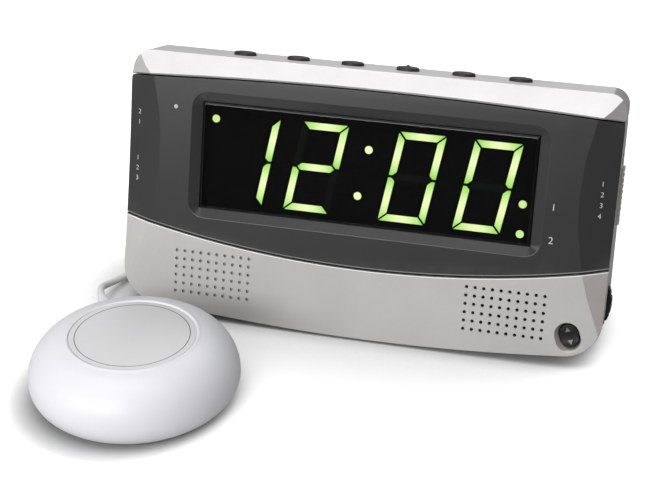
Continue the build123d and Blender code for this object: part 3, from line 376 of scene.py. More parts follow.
# Plain moulded plastics, light pieces that are off, and print
mouldLooks = {
    "bezelGrey": dict(
        light=tint(45, 45, 46), dark=tint(41, 41, 42), size=2600.0, gloss=(0.27, 0.32), bump=0.03, wearSheen=0.3,
        # lines: a pale line on the bezel's lower edge, painted highlight along the low seam
        dust=0.015, lines=[("low", 0.27, 0.8, tint(128, 128, 126))],
    ),
    "housingGrey": dict(
        light=tint(186, 185, 180), dark=tint(177, 176, 171), size=1800.0, gloss=(0.5, 0.62), bump=0.2,
        wearSheen=0.3,
    ),
    "buttonGrey": dict(
        light=tint(46, 44, 43), dark=tint(38, 37, 36), size=3600.0, gloss=(0.45, 0.55), bump=0.06, wearSheen=0.2,
        shine=0.35,
    ),
    "knobGrey": dict(
        light=tint(200, 199, 195), dark=tint(190, 189, 185), size=3000.0, gloss=(0.4, 0.5), bump=0.1, wearSheen=0.4,
    ),
    "signGrey": dict(
        light=tint(124, 124, 121), dark=tint(110, 110, 108), size=3000.0, gloss=(0.45, 0.55), bump=0.06,
        wearSheen=0.2,
    ),
    "blackPlastic": dict(
        light=tint(24, 24, 24), dark=tint(16, 16, 16), size=3000.0, gloss=(0.5, 0.6), bump=0.08, wearSheen=0.2,
        shine=0.3,
    ),
    "whitePlastic": dict(
        light=tint(240, 240, 244), dark=tint(235, 235, 240), size=2200.0, gloss=(0.36, 0.46), bump=0.04,
    ),
    "cordWhite": dict(
        light=tint(238, 238, 236), dark=tint(226, 226, 223), size=1500.0, gloss=(0.45, 0.58), bump=0.08,
    ),
    "plugWhite": dict(
        light=tint(236, 236, 234), dark=tint(226, 226, 223), size=2600.0, gloss=(0.4, 0.52), bump=0.08,
    ),
    "tieBlack": dict(light=tint(36, 36, 38), dark=tint(26, 26, 27), size=2400.0, gloss=(0.5, 0.6), bump=0.15),
    "rubberBlack": dict(
        light=tint(38, 38, 38), dark=tint(27, 27, 27), size=1900.0, gloss=(0.72, 0.85), bump=0.3, wearSheen=0.2,
    ),
    "switchBlack": dict(
        light=tint(34, 34, 36), dark=tint(25, 25, 26), size=2800.0, gloss=(0.45, 0.55), bump=0.1,
    ),
    "blockBlack": dict(
        light=tint(14, 15, 14), dark=tint(9, 10, 9), size=3000.0, gloss=(0.8, 0.9), bump=0.06, shine=0.1,
    ),
    "paperCone": dict(
        light=tint(44, 42, 40), dark=tint(30, 29, 28), size=900.0, gloss=(0.85, 0.95), bump=0.5,
    ),
    "ribbonGrey": dict(
        light=tint(182, 182, 186), dark=tint(160, 160, 166), size=1400.0, gloss=(0.45, 0.55), bump=0.1,
    ),
    "offSegment": dict(
        light=tint(24, 30, 24), dark=tint(18, 23, 18), size=1500.0, gloss=(0.45, 0.6), bump=0.05, depth=0.02,
        shine=0.15, dust=0.0,
    ),
    "printInk": dict(
        light=tint(206, 206, 204), dark=tint(180, 180, 178), size=4200.0, gloss=(0.5, 0.65), bump=0.05,
        depth=0.01, dust=0.0,
    ),
}
usualLook = {"dust": 0.06, "shine": 0.5, "depth": 0.05}  # where a look has no other value
# Paler edges are partly wear, partly painted highlight
wearSheenPale = 0.35  # how far a rubbed edge goes towards white


def mouldedFinish(name):
    look = {**usualLook, **mouldLooks[name]}
    finish, tree, shader = newFinish(name)
    low, high = look["gloss"]
    grain = placeGroup(tree, "grain", {
        "Light": look["light"],
        "Dark": look["dark"],
        "Size": look["size"],
        "Gloss Low": low,
        "Gloss High": high,
    })
    color = grain["Color"]
    if "lines" in look:
        color = seamShadeAndHighlight(tree, look["lines"], faceReaches(tree), color)
    if "wearSheen" in look:
        pale = tuple(wearSheenPale + channel * (1 - wearSheenPale) for channel in look["light"])
        color = wornSheen(tree, color, pale, look["wearSheen"])
    feedNamed(tree, shader, {
        "Base Color": dusted(tree, color, look["dust"]),
        "Roughness": grain["Roughness"],
        "Specular IOR Level": look["shine"],
    })
    addBump(tree, shader, grain["Height"], look["bump"], look["depth"])
    return finish


finishes = {name: mouldedFinish(name) for name in mouldLooks}

# Silver paint of the panel and the cap, with painted shade in the panel's patterns of holes: (from x, to x,
# tone)
silverLooks = {
    "panelSilver": dict(
        paint=tint(189, 188, 185), flake=tint(213, 213, 210),
        # holes: darker inside each pattern, partly bare plastic, partly painted shade
        holes=[(44.0, 82.0, tint(26, 26, 27)), (-82.0, -44.0, tint(160, 159, 157))],
        holeDepth=0.35, holeAbove=6.0,
        # lines: a dark line of painted shade in the low seam's gap, a pale line of painted highlight on the
        # panel's edge
        lines=[("low", -0.7, -0.2, tint(28, 28, 28)), ("low", -1.15, -0.7, tint(242, 242, 240))],
        # scoop: painted shade towards the bottom of the rocker's scoop
        scoop=tint(112, 110, 107), scoopMiddle=(90.6, 14.4), scoopReach=9.0, scoopDepth=(0.2, 1.2),
        # turned: painted shade on the end facet turned to the right
        turned=[(0.2, tint(166, 155, 154))],
    ),
    "capSilverLit": dict(
        # paint: lighter than the panel's silver, painting light onto the cap's up-facing band
        paint=tint(222, 220, 220), flake=tint(242, 241, 241),
        # lines: a darker line of painted shade on the cap's lower lip at the top seam
        lines=[("top", -0.85, -0.2, tint(120, 119, 117))],
        # turned: painted shade on the ends turned to either side, darker on the right
        turned=[(0.22, tint(158, 152, 151)), (-0.22, tint(196, 196, 190))],
    ),
}
silverPaint = {
    "size": 7000.0,
    "amount": 0.3,
    "bump": 0.02,
    "depth": 0.02,
    "pale": tint(236, 236, 234),
    "wearSheen": 0.3,
    "dust": 0.05,
    "coat": 0.15,
    "coatRough": 0.25,
}


# Inside the holes of one pattern, below the reach of the paint: partly bare plastic, partly painted shade
def holeShadeMask(tree, look, reaches, low, high):
    out, up, across = reaches
    deep = mathNode(tree, "LESS_THAN", out, -look["holeDepth"] * mm)
    above = mathNode(tree, "GREATER_THAN", up, look["holeAbove"] * mm)
    return product(tree, deep, above, between(tree, across, low * mm, high * mm))


# Painted shade, darker towards the bottom of the rocker's scoop
def scoopShadeMask(tree, look, reaches):
    away = faceDistance(tree, reaches, *look["scoopMiddle"])
    near = mathNode(tree, "LESS_THAN", away, look["scoopReach"] * mm)
    shallow, deep = (-value * mm for value in look["scoopDepth"])
    return product(tree, near, spread(tree, reaches[0], to=(1.0, 0.0), within=(deep, shallow)))


# Painted shade where the paint turns to the side, away from the light:
# (sideways part of the normal, tone), from a third of that turn on
def sideShadeTones(tree, look, color):
    sideways = normalPart(tree, "X")
    for turn, tone in look["turned"]:
        color = mixColors(tree, spread(tree, sideways, within=(turn / 3, turn)), color, tone)
    return color


def silverFinish(name):
    look = {**silverPaint, **silverLooks[name]}
    finish, tree, shader = newFinish(name)
    flake = placeGroup(tree, "flake", {
        "Paint": look["paint"],
        "Flake": look["flake"],
        "Size": look["size"],
        "Amount": look["amount"],
    })
    color = flake["Color"]
    reaches = faceReaches(tree)
    if "holes" in look:
        color = mixColors(tree, scoopShadeMask(tree, look, reaches), color, look["scoop"])
        for low, high, tone in look["holes"]:
            color = mixColors(tree, holeShadeMask(tree, look, reaches, low, high), color, tone)
    color = sideShadeTones(tree, look, color)
    color = seamShadeAndHighlight(tree, look["lines"], reaches, color)
    color = wornSheen(tree, color, look["pale"], look["wearSheen"])
    feedNamed(tree, shader, {
        "Base Color": dusted(tree, color, look["dust"]),
        "Metallic": flake["Metallic"],
        "Roughness": flake["Roughness"],
        "Coat Weight": look["coat"],
        "Coat Roughness": look["coatRough"],
    })
    addBump(tree, shader, flake["Height"], look["bump"], look["depth"])
    return finish


for name in silverLooks:
    finishes[name] = silverFinish(name)

# Bare metals, brushed along one way
metalLooks = {
    "steelBright": dict(
        light=tint(204, 204, 206), dark=tint(170, 170, 174), rough=(0.24, 0.42),
        stretch=(1.0, 1.0, 0.06), size=2400.0,
    ),
    "magnetGrey": dict(
        light=tint(92, 92, 95), dark=tint(72, 72, 75), rough=(0.42, 0.6),
        stretch=(1.0, 1.0, 1.0), size=1600.0,
    ),
    "brassWarm": dict(
        light=tint(212, 178, 108), dark=tint(180, 146, 82), rough=(0.26, 0.44),
        stretch=(1.0, 0.08, 1.0), size=2200.0,
    ),
    "batteryCan": dict(
        light=tint(150, 116, 62), dark=tint(120, 90, 46), rough=(0.3, 0.46),
        stretch=(0.05, 1.0, 1.0), size=1800.0,
    ),
}
bareMetal = {"dust": 0.08, "bump": 0.1, "depth": 0.02}


def metalFinish(name):
    look = {**bareMetal, **metalLooks[name]}
    finish, tree, shader = newFinish(name)
    lines = brushed(tree, objectCoords(tree), look["stretch"], look["size"])
    color = mixColors(tree, lines, look["light"], look["dark"])
    feedNamed(tree, shader, {
        "Base Color": dusted(tree, color, look["dust"]),
        "Metallic": 1.0,
        "Roughness": spread(tree, lines, to=look["rough"]),
    })
    addBump(tree, shader, lines, look["bump"], look["depth"])
    return finish


for name in metalLooks:
    finishes[name] = metalFinish(name)

# Circuit board: solder mask over fine tracks, with pads
boardLook = {
    "mask": tint(34, 84, 48),
    "track": tint(52, 112, 66),
    "pad": tint(196, 188, 150),
    "trackSize": 260.0,
    "trackGap": 0.05,
    "padSize": 338.0,
    "padEdge": (0.12, 0.16),
    "rough": (0.4, 0.28),
    "dust": 0.15,
    "bump": 0.2,
    "depth": 0.03,
}


def boardFinish():
    look = boardLook
    finish, tree, shader = newFinish("boardGreen")
    coords = objectCoords(tree)
    tracks = addNode(tree, "ShaderNodeTexBrick")
    feedNamed(tree, tracks, {"Vector": coords, "Scale": look["trackSize"], "Mortar Size": look["trackGap"]})
    dots = cells(tree, coords, look["padSize"])["Distance"]
    pads = spread(tree, dots, to=(1.0, 0.0), within=look["padEdge"])
    color = mixColors(tree, tracks.outputs["Fac"], look["mask"], look["track"])
    color = mixColors(tree, pads, color, look["pad"])
    feedNamed(tree, shader, {
        "Base Color": dusted(tree, color, look["dust"]),
        "Roughness": spread(tree, pads, to=look["rough"]),
    })
    addBump(tree, shader, tracks.outputs["Fac"], look["bump"], look["depth"])
    return finish


finishes["boardGreen"] = boardFinish()

# Puck's label: satin film with one thin printed ring
labelLook = {
    "film": tint(243, 243, 243),
    "dull": tint(235, 235, 236),
    "ink": tint(120, 120, 124),
    "ring": (22.6, 22.95),
    "stretch": (0.05, 1.0, 1.0),
    "fine": 2600.0,
    "broad": 45.0,
    "rough": (0.36, 0.5),
    "metal": 0.25,
    "dust": 0.05,
    "bump": 0.05,
    "depth": 0.01,
}


def labelFinish():
    look = labelLook
    finish, tree, shader = newFinish("labelFilm")
    coords = objectCoords(tree)
    lines = brushed(tree, coords, look["stretch"], look["fine"])
    broad = noise(tree, coords, look["broad"], detail=2.0, rough=0.5)
    level = vectorNode(tree, "MULTIPLY", coords, (1, 1, 0))
    low, high = (edge * mm for edge in look["ring"])
    ring = between(tree, vectorNode(tree, "DISTANCE", level, puckMiddle), low, high)
    tone = product(tree, mathNode(tree, "ADD", lines, broad), 0.5)
    color = mixColors(tree, tone, look["film"], look["dull"])
    color = mixColors(tree, ring, color, look["ink"])
    feedNamed(tree, shader, {
        "Base Color": dusted(tree, color, look["dust"]),
        "Roughness": spread(tree, lines, to=look["rough"]),
        "Metallic": look["metal"],
    })
    addBump(tree, shader, lines, look["bump"], look["depth"])
    return finish


finishes["labelFilm"] = labelFinish()

# Smoked window: denser and glossier on its chamfer
windowLook = {
    "dark": (0.002, 0.0024, 0.002, 1),
    "smear": (0.006, 0.007, 0.006, 1),
    "smearSize": 60.0,
    "dust": 0.02,
    "alpha": (0.3, 0.85),
    "rough": (0.04, 0.09),
    "bend": 1.49,
    "shine": 0.25,
}


def windowFinish():
    look = windowLook
    finish, tree, shader = newFinish("smokedWindow")
    smear = noise(tree, objectCoords(tree), look["smearSize"])
    color = mixColors(tree, smear, look["dark"], look["smear"])
    rim = addNode(tree, "ShaderNodeAttribute", attribute_name="rim").outputs["Fac"]
    feedNamed(tree, shader, {
        "Base Color": dusted(tree, color, look["dust"]),
        "Roughness": spread(tree, smear, to=look["rough"], within=(0.35, 0.7)),
        "Alpha": spread(tree, rim, to=look["alpha"]),
        "Coat Weight": rim,
        "IOR": look["bend"],
        "Specular IOR Level": look["shine"],
    })
    return finish


finishes["smokedWindow"] = windowFinish()

# Lit segments: pale in the middle, greener at the ends
litLook = {
    "core": tint(228, 246, 178),
    "end": tint(136, 204, 70),
    "fall": 1.4,
    "grain": (0.92, 1.06),
    "grainSize": 900.0,
    "strength": 1.9,
    "rough": 0.5,
}


def litFinish():
    look = litLook
    finish, tree, shader = newFinish("litSegment")
    along = addNode(tree, "ShaderNodeAttribute", attribute_name="along").outputs["Fac"]
    reach = mathNode(tree, "POWER", mathNode(tree, "ABSOLUTE", along), look["fall"])
    specks = noise(tree, objectCoords(tree), look["grainSize"], detail=2.0, rough=0.5)
    grain = spread(tree, specks, to=look["grain"], within=(0.3, 0.7))
    color = mixColors(tree, reach, look["core"], look["end"])
    feedNamed(tree, shader, {
        "Base Color": color,
        "Emission Color": vectorNode(tree, "MULTIPLY", color, grain),
        "Emission Strength": look["strength"],
        "Roughness": look["rough"],
    })
    return finish


finishes["litSegment"] = litFinish()
print("finishes made:", len(finishes))

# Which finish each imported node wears
wears = {
    "bezelGrey": ["front_bezel"],
    "panelSilver": ["lower_panel"],
    "capSilverLit": ["top_cap"],
    "housingGrey": ["rear_housing", "battery_door"],
    "rubberBlack": ["rubber_feet"],
    "steelBright": ["case_screws", "board_screws", "shaker_screws", "motor_can", "motor_shaft"],
    "smokedWindow": ["display_lens"],
    "blockBlack": ["display_block"],
    "litSegment": ["lit_segments"],
    "offSegment": ["unlit_segments"],
    "boardGreen": ["display_board", "button_board", "rocker_board", "side_boards", "main_board"],
    "ribbonGrey": ["display_ribbon"],
    "switchBlack": [
        "tact_switches", "slide_switches", "volume_pot", "board_parts",
        "dc_jack", "shaker_jack", "battery_snap", "speaker_frame",
    ],
    "blackPlastic": ["rocker_button", "volume_wheel"],
    "knobGrey": ["mode_slider", "dimmer_slider", "select_slider"],
    "buttonGrey": [f"button_{number}" for number in range(1, 7)],
    "paperCone": ["speaker_cone"],
    "magnetGrey": ["speaker_magnet"],
    "batteryCan": ["backup_battery"],
    "whitePlastic": ["shaker_shell", "shaker_base_plate", "motor_bracket", "strain_relief"],
    "labelFilm": ["shaker_label"],
    "brassWarm": ["eccentric_weight"],
    "cordWhite": ["cord_lead", "cord_coil", "cord_tail"],
    "tieBlack": ["cord_tie"],
    "plugWhite": ["shaker_plug"],
}
finishOf = {nodeName: finishes[name] for name, worn in wears.items() for nodeName in worn}
for nodeName, finish in finishOf.items():
    slots = nodes[nodeName].material_slots
    if not slots:
        nodes[nodeName].data.materials.append(finish)
    for slot in slots:
        slot.material = finish

# Mesh helpers
meshLook = {"merge": 2e-6, "flat": 0.6, "smooth": 32, "turnSmooth": 40, "plateSmooth": 30}


def newPiece(name, mesh, finish):
    piece = bpy.data.objects.new(name, mesh)
    mesh.materials.clear()
    mesh.materials.append(finish)
    scene.collection.objects.link(piece)
    return piece


def addPiece(name, mesh, finish, body, replaced=()):
    piece = newPiece(name, mesh, finish)
    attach(piece, body)
    if replaced:
        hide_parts(*replaced)
    return piece


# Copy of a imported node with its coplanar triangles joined
def cleanCopy(nodeName):
    work = bmesh.new()
    work.from_mesh(nodes[nodeName].data)
    bmesh.ops.remove_doubles(work, verts=work.verts, dist=meshLook["merge"])
    bmesh.ops.dissolve_limit(
        work, angle_limit=math.radians(meshLook["flat"]), verts=work.verts, edges=work.edges
    )
    work.normal_update()
    return work


def finishMesh(work, name, angle=meshLook["smooth"]):
    work.normal_update()
    mesh = bpy.data.meshes.new(name)
    work.to_mesh(mesh)
    work.free()
    if "custom_normal" in mesh.attributes:
        mesh.attributes.remove(mesh.attributes["custom_normal"])
    for polygon in mesh.polygons:
        polygon.use_smooth = True
    mesh.set_sharp_from_angle(angle=math.radians(angle))
    return mesh


def curveMesh(curve):
    holder = bpy.data.objects.new(curve.name, curve)
    scene.collection.objects.link(holder)
    depsgraph = bpy.context.evaluated_depsgraph_get()
    mesh = bpy.data.meshes.new_from_object(holder.evaluated_get(depsgraph))
    bpy.data.objects.remove(holder)
    return mesh


# Stack of oval rings, closed by a point at each end: (half width, half depth, height)
def ringStack(name, rings, steps, place, angle=meshLook["turnSmooth"]):
    work = bmesh.new()
    rows = []
    turns = [2 * math.pi * step / steps for step in range(steps)]
    for wide, deep, height in rings:
        spots = [(wide * math.cos(turn), deep * math.sin(turn), height) for turn in turns]
        if wide == 0:
            spots = [(0, 0, height)]
        rows.append([work.verts.new(place @ (Vector(spot) * mm)) for spot in spots])
    for low, high in zip(rows, rows[1:]):
        for step in range(steps):
            after = (step + 1) % steps
            if len(low) == 1:
                work.faces.new((low[0], high[after], high[step]))
            elif len(high) == 1:
                work.faces.new((low[step], low[after], high[0]))
            else:
                work.faces.new((low[step], low[after], high[after], high[step]))
    bmesh.ops.recalc_face_normals(work, faces=work.faces)
    return finishMesh(work, name, angle)


def lathe(name, profile, steps, place, angle=meshLook["turnSmooth"]):
    return ringStack(name, [(radius, radius, height) for radius, height in profile], steps, place, angle)


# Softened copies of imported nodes: sharp outer edges and the lines of the end facets get a small round
softLook = {"angle": 28, "segments": 2, "merge": 1e-6, "facing": 0.3}
facetLook = {"facing": 0.7, "level": 0.05, "turned": (0.12, 0.35)}
grilleZone = {"x": 63.1, "v": 21.0, "halfX": 18.5, "halfV": 11.0}


# Where the front turns into an end facet
def facetEdge(edge, least):
    level, turned = sorted((side.normal for side in edge.link_faces), key=lambda normal: abs(normal.x))
    low, high = facetLook["turned"]
    facing = min(level.dot(face["out"]), turned.dot(face["out"])) > facetLook["facing"]
    straight = level.dot(face["out"]) > least and abs(level.x) < facetLook["level"]
    return facing and straight and low < abs(turned.x) < high


def inGrille(point):
    x, v, n = faceCoords(point)
    beside = abs(abs(x) - grilleZone["x"]) < grilleZone["halfX"]
    return beside and abs(v - grilleZone["v"]) < grilleZone["halfV"]


# An edge shows if it lies far enough out to the side, or faces one of the ways and isn't too deep
def edgeShows(edge, look):
    middle = (edge.verts[0].co + edge.verts[1].co) / 2
    if "beyond" in look:
        return abs(middle.x) > look["beyond"] * mm
    facing = any(
        side.normal.dot(face[way]) > softLook["facing"] for side in edge.link_faces for way in look["ways"]
    )
    shallow = faceCoords(middle)[2] > look.get("deepest", -math.inf)
    return facing and shallow and not (look.get("grilles") and inGrille(middle))


def softCopy(nodeName, pieceName, body, look):
    work = cleanCopy(nodeName)
    if "shape" in look:
        look["shape"](work)
    picked = []
    for edge in work.edges:
        if not edge.is_manifold:
            continue
        sharp = edge.calc_face_angle(0) > math.radians(look.get("angle", softLook["angle"]))
        if (sharp and edgeShows(edge, look)) or ("facets" in look and facetEdge(edge, look["facets"])):
            picked.append(edge)
    bmesh.ops.bevel(
        work, geom=picked, offset=look["round"] * mm, offset_type="OFFSET", segments=softLook["segments"],
        profile=0.5, affect="EDGES", clamp_overlap=True,
    )
    bmesh.ops.remove_doubles(work, verts=work.verts, dist=softLook["merge"])
    if "rim" in look:
        rim = work.faces.layers.float.new("rim")
        low, high = look["rim"]
        for side in work.faces:
            side[rim] = float(low < side.normal.dot(face["out"]) < high)
    piece = addPiece(pieceName, finishMesh(work, pieceName), finishOf[nodeName], body, [nodeName])
    piece.modifiers.new("evenNormals", "WEIGHTED_NORMAL").keep_sharp = True
    print(pieceName, "softened", len(picked), "edges")


# Cap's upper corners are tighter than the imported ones
cornerLook = {"half": 103.5, "top": 114.3, "packed": 13.5, "seen": 7.0, "facing": 0.3}


# How far the tighter corner reaches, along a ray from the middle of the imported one
def cornerReach(cosine, sine):
    bend = cornerLook["seen"] / cornerLook["packed"]
    start = 1 - bend
    if sine <= start * cosine:
        return 1 / cosine
    if cosine <= start * sine:
        return 1 / sine
    toward = start * (cosine + sine)
    return toward + math.sqrt(toward * toward - 2 * start * start + bend * bend)


def cornerMove(vert):
    x, v, n = faceCoords(vert.co)
    size = cornerLook["packed"]
    across = (abs(x) - cornerLook["half"]) / size + 1
    above = (v - cornerLook["top"]) / size + 1
    if across <= 0 or above <= 0:
        return Vector()
    reach = math.hypot(across, above)
    grow = (cornerReach(across / reach, above / reach) - 1) * min(1, reach) ** 2 * size * mm
    move = Vector((math.copysign(across * grow, x), 0, 0)) + face["up"] * (above * grow)
    normals = [side.normal for side in vert.link_faces]
    fronts = [normal for normal in normals if normal.dot(face["out"]) > cornerLook["facing"]]
    if fronts:  # the front faces stay in their planes
        normal = max(fronts, key=lambda normal: abs(normal.x))
        move -= face["out"] * (normal.dot(move) / normal.dot(face["out"]))
    return move


def tightCorners(work):
    moves = [cornerMove(vert) for vert in work.verts]
    for vert, move in zip(work.verts, moves):
        vert.co += move
    work.normal_update()


# Clock's front frame, panel and cap
frameLook = {"round": 0.3, "angle": 14, "facets": 0.9995, "ways": ["out"], "deepest": -3.0}
panelLook = {"round": 0.32, "facets": 0.9995, "ways": ["out"], "deepest": -2.4, "grilles": True}
capLook = {"round": 0.3, "facets": 0.7, "ways": ["out", "up"], "shape": tightCorners}
softCopy("front_bezel", "frontFrame", "clock", frameLook)
softCopy("lower_panel", "frontPanel", "clock", panelLook)
softCopy("top_cap", "capShell", "clock", capLook)

# Window block, with a softened chamfer
lensLook = {"round": 0.2, "ways": ["out"], "deepest": -2.9, "rim": (0.3, 0.97)}
softCopy("display_lens", "windowBlock", "clock", lensLook)

# Slide knobs, thumbwheel and rocker
knobLook = {"round": 0.14, "beyond": 103.2}
wheelLook = {"round": 0.25, "beyond": 100.0}
rockerLook = {"round": 0.4, "ways": ["out"], "deepest": -2.0}
for knob in ("mode", "dimmer", "select"):
    softCopy(f"{knob}_slider", f"{knob}Knob", f"{knob}_knob", knobLook)
softCopy("volume_wheel", "volumeDial", "wheel", wheelLook)
softCopy("rocker_button", "rockerCap", "rocker", rockerLook)

# Oval top buttons with a crowned face
buttonLook = {
    "halfLong": 4.8,
    "halfWide": 3.8,
    "n": -19.0,
    "top": 116.0,
    "edge": 0.75,
    "crown": 0.3,
    "flange": (6.3, 5.3, 110.6, 111.8),
    "stem": (1.7, 109.6),
    "pitch": 23.6,
    "count": 6,
    "nub": 4,
    "steps": 72,
    "edgeSteps": 8,
}
nubLook = {"radius": 0.9, "rise": 0.85, "sink": 0.25, "foot": 0.5, "steps": 24, "edgeSteps": 6, "smooth": 60}


def buttonRings():
    look = buttonLook
    flangeWide, flangeDeep, flangeLow, flangeTop = look["flange"]
    stemRadius, stemLow = look["stem"]
    wide, deep, edge = look["halfLong"], look["halfWide"], look["edge"]
    shoulder = look["top"] - look["crown"]
    rings = [
        (0, 0, stemLow),
        (stemRadius, stemRadius, stemLow),
        (stemRadius, stemRadius, flangeLow),
        (flangeWide, flangeDeep, flangeLow),
        (flangeWide, flangeDeep, flangeTop),
        (wide, deep, flangeTop),
    ]
    for step in range(look["edgeSteps"] + 1):  # rounded shoulder
        turn = math.pi / 2 * step / look["edgeSteps"]
        inset = edge * (1 - math.cos(turn))
        rings.append((wide - inset, deep - inset, shoulder - edge + edge * math.sin(turn)))
    for share in (0.75, 0.5, 0.25):  # crowned face
        lift = look["crown"] * (1 - share * share)
        rings.append(((wide - edge) * share, (deep - edge) * share, shoulder + lift))
    rings.append((0, 0, look["top"]))
    return rings


def addNub(mesh, place):
    look = nubLook
    top = buttonLook["top"]
    rings = [(0, 0, top - look["foot"])]
    for step in range(look["edgeSteps"]):
        turn = math.pi / 2 * step / look["edgeSteps"]
        radius = look["radius"] * math.cos(turn)
        rings.append((radius, radius, top - look["sink"] + look["rise"] * math.sin(turn)))
    rings.append((0, 0, top - look["sink"] + look["rise"]))
    work = bmesh.new()
    work.from_mesh(mesh)
    work.from_mesh(ringStack("touchNub", rings, look["steps"], place, look["smooth"]))
    return finishMesh(work, mesh.name, meshLook["turnSmooth"])


def addButtons():
    look = buttonLook
    across = Vector((1, 0, 0))
    for number in range(1, look["count"] + 1):
        name = f"topButton{number}"
        x = (number - 1 - (look["count"] - 1) / 2) * look["pitch"]
        place = axesMatrix(facePoint(x, 0, look["n"]), across, face["up"].cross(across), face["up"])
        mesh = ringStack(name, buttonRings(), look["steps"], place)
        if number == look["nub"]:
            mesh = addNub(mesh, place)
        addPiece(name, mesh, finishes["buttonGrey"], f"button_{number}", [f"button_{number}"])


addButtons()
print("buttons made")

# Puck: lathe-turned shell with a ridge round its label
puckLook = {
    "radius": 42.2,
    "rim": 9.4,
    "top": 26.9,
    "plateau": 27.2,
    "floor": 26.3,
    "recess": 25.2,
    "recessRing": 0.6,
    "mouth": 30.2,
    "wall": 2.2,
    "steps": 160,
    "domeSteps": 28,
    "underSteps": 16,
    "ridge": [
        (25.3, 26.78), (25.48, 27.05), (25.75, 27.2), (26.1, 27.24),
        (26.45, 27.2), (26.75, 27.1), (27.05, 26.96),
    ],
}


def puckProfile():
    look = puckLook
    rim, wall, floor, plateau = look["rim"], look["wall"], look["floor"], look["plateau"]
    drop = look["radius"] - plateau
    climb = look["top"] - rim
    curve = (drop * drop + climb * climb) / (2 * drop)
    centre = look["radius"] - curve
    points = [(radius, floor) for radius in (0, look["recess"] * look["recessRing"], look["recess"])]
    points += look["ridge"]
    last = math.atan2(climb, plateau - centre)
    for step in range(look["domeSteps"] + 1):
        turn = last * (1 - step / look["domeSteps"])
        points.append((centre + curve * math.cos(turn), rim + curve * math.sin(turn)))
    flat = look["radius"] - rim
    for step in range(1, look["underSteps"] + 1):
        turn = math.pi / 2 * step / look["underSteps"]
        points.append((flat + rim * math.cos(turn), rim - rim * math.sin(turn)))
    slant = math.sqrt(0.5)
    points += [  # inside of the wall
        (look["mouth"], 0),
        (look["mouth"], wall),
        (flat, wall),
        (flat + (rim - wall) * slant, rim - (rim - wall) * slant),
        (look["radius"] - wall, rim),
        (centre + (curve - wall) * slant, rim + (curve - wall) * slant),
        (plateau - wall / 2, floor - wall),
        (0, floor - wall),
    ]
    return points


puckMesh = lathe("puckShell", puckProfile(), puckLook["steps"], Matrix.Translation(puckMiddle))
addPiece("puckShell", puckMesh, finishes["whitePlastic"], "shaker", ["shaker_shell"])

# Strain relief: soft tapered sleeve out of the puck, (radius, distance from the puck's middle)
reliefLook = {
    "angle": 124.0,
    "profile": [
        (0, 38.0), (3.2, 38.0), (3.25, 41.6), (3.7, 41.9), (4.15, 42.3), (4.35, 43.0),
        (4.38, 44.0), (4.2, 46.5), (3.85, 49.5), (3.4, 52.5), (2.95, 55.5), (2.55, 58.0),
        (2.2, 60.2), (1.98, 61.5), (1.85, 62.0), (0, 62.0),
    ],
    "steps": 48,
    "smooth": 50,
}


def reliefPlace():
    turn = math.radians(reliefLook["angle"])
    along = Vector((math.cos(turn), math.sin(turn), 0))
    side = Vector((-math.sin(turn), math.cos(turn), 0))
    return axesMatrix(puckMiddle + Vector((0, 0, puckLook["rim"])) * mm, side, along.cross(side), along)


reliefMesh = lathe(
    "reliefSleeve", reliefLook["profile"], reliefLook["steps"], reliefPlace(), reliefLook["smooth"]
)
addPiece("reliefSleeve", reliefMesh, finishes["whitePlastic"], "shaker", ["strain_relief"])
print("puck turned")

# Lit segments: each vertex knows how far along its segment it lies, from -1 to 1
digitLook = {"facing": 0.9, "mostCorners": 8, "colonReach": 25.0, "dotTone": 0.55}


def segmentReach(side):
    pairs = [(one, two) for one in side.verts for two in side.verts]
    first, last = max(pairs, key=lambda pair: (pair[0].co - pair[1].co).length)
    middle = (first.co + last.co) / 2
    half = (last.co - first.co) / 2
    return [(vert.co - middle).dot(half) / half.length_squared for vert in side.verts]


# A round dot has one tone, the colon's palest
def dotReach(side):
    beside = abs(side.calc_center_median().x) > digitLook["colonReach"] * mm
    return [digitLook["dotTone"] * beside for vert in side.verts]


def addDigits():
    work = cleanCopy("lit_segments")
    along = work.verts.layers.float.new("along")
    fronts = [side for side in work.faces if side.normal.dot(face["out"]) > digitLook["facing"]]
    for side in fronts:
        dot = len(side.verts) > digitLook["mostCorners"]
        for vert, reach in zip(side.verts, dotReach(side) if dot else segmentReach(side)):
            vert[along] = reach
    mesh = finishMesh(work, "litDigits", meshLook["plateSmooth"])
    addPiece("litDigits", mesh, finishes["litSegment"], "clock", ["lit_segments"])
    print("digits lit:", len(fronts))


addDigits()

# Printed marks: plain numbers, one dot and two triangles, each as (mark, x, v, size)
marks = [
    ("dot", -82.6, 92.2, 1.7),
    ("1", 79.0, 67.1, 4.2), ("2", 79.2, 53.4, 4.2),
    ("1", 97.4, 78.6, 2.9), ("2", 97.6, 74.2, 2.9), ("3", 97.6, 69.8, 2.9), ("4", 97.4, 65.4, 2.9),
    ("2", -99.2, 88.2, 2.9), ("1", -99.2, 83.8, 2.9),
    ("1", -99.4, 68.2, 2.9), ("2", -99.4, 63.8, 2.9), ("3", -99.4, 59.4, 2.9),
]
markLook = {"thick": 0.04, "sink": 0.02, "dotSides": 24, "above": 20.0, "merge": 1e-7}
rockerMarks = {"reach": 2.5, "size": 1.3, "turn": 20.0, "thick": 0.3, "sink": 0.12}


def numberMesh(text, size):
    curve = bpy.data.curves.new("markText", "FONT")
    curve.body = text
    curve.align_x = "CENTER"
    curve.align_y = "CENTER"
    curve.size = size * mm
    curve.extrude = markLook["thick"] / 2 * mm
    return curveMesh(curve)


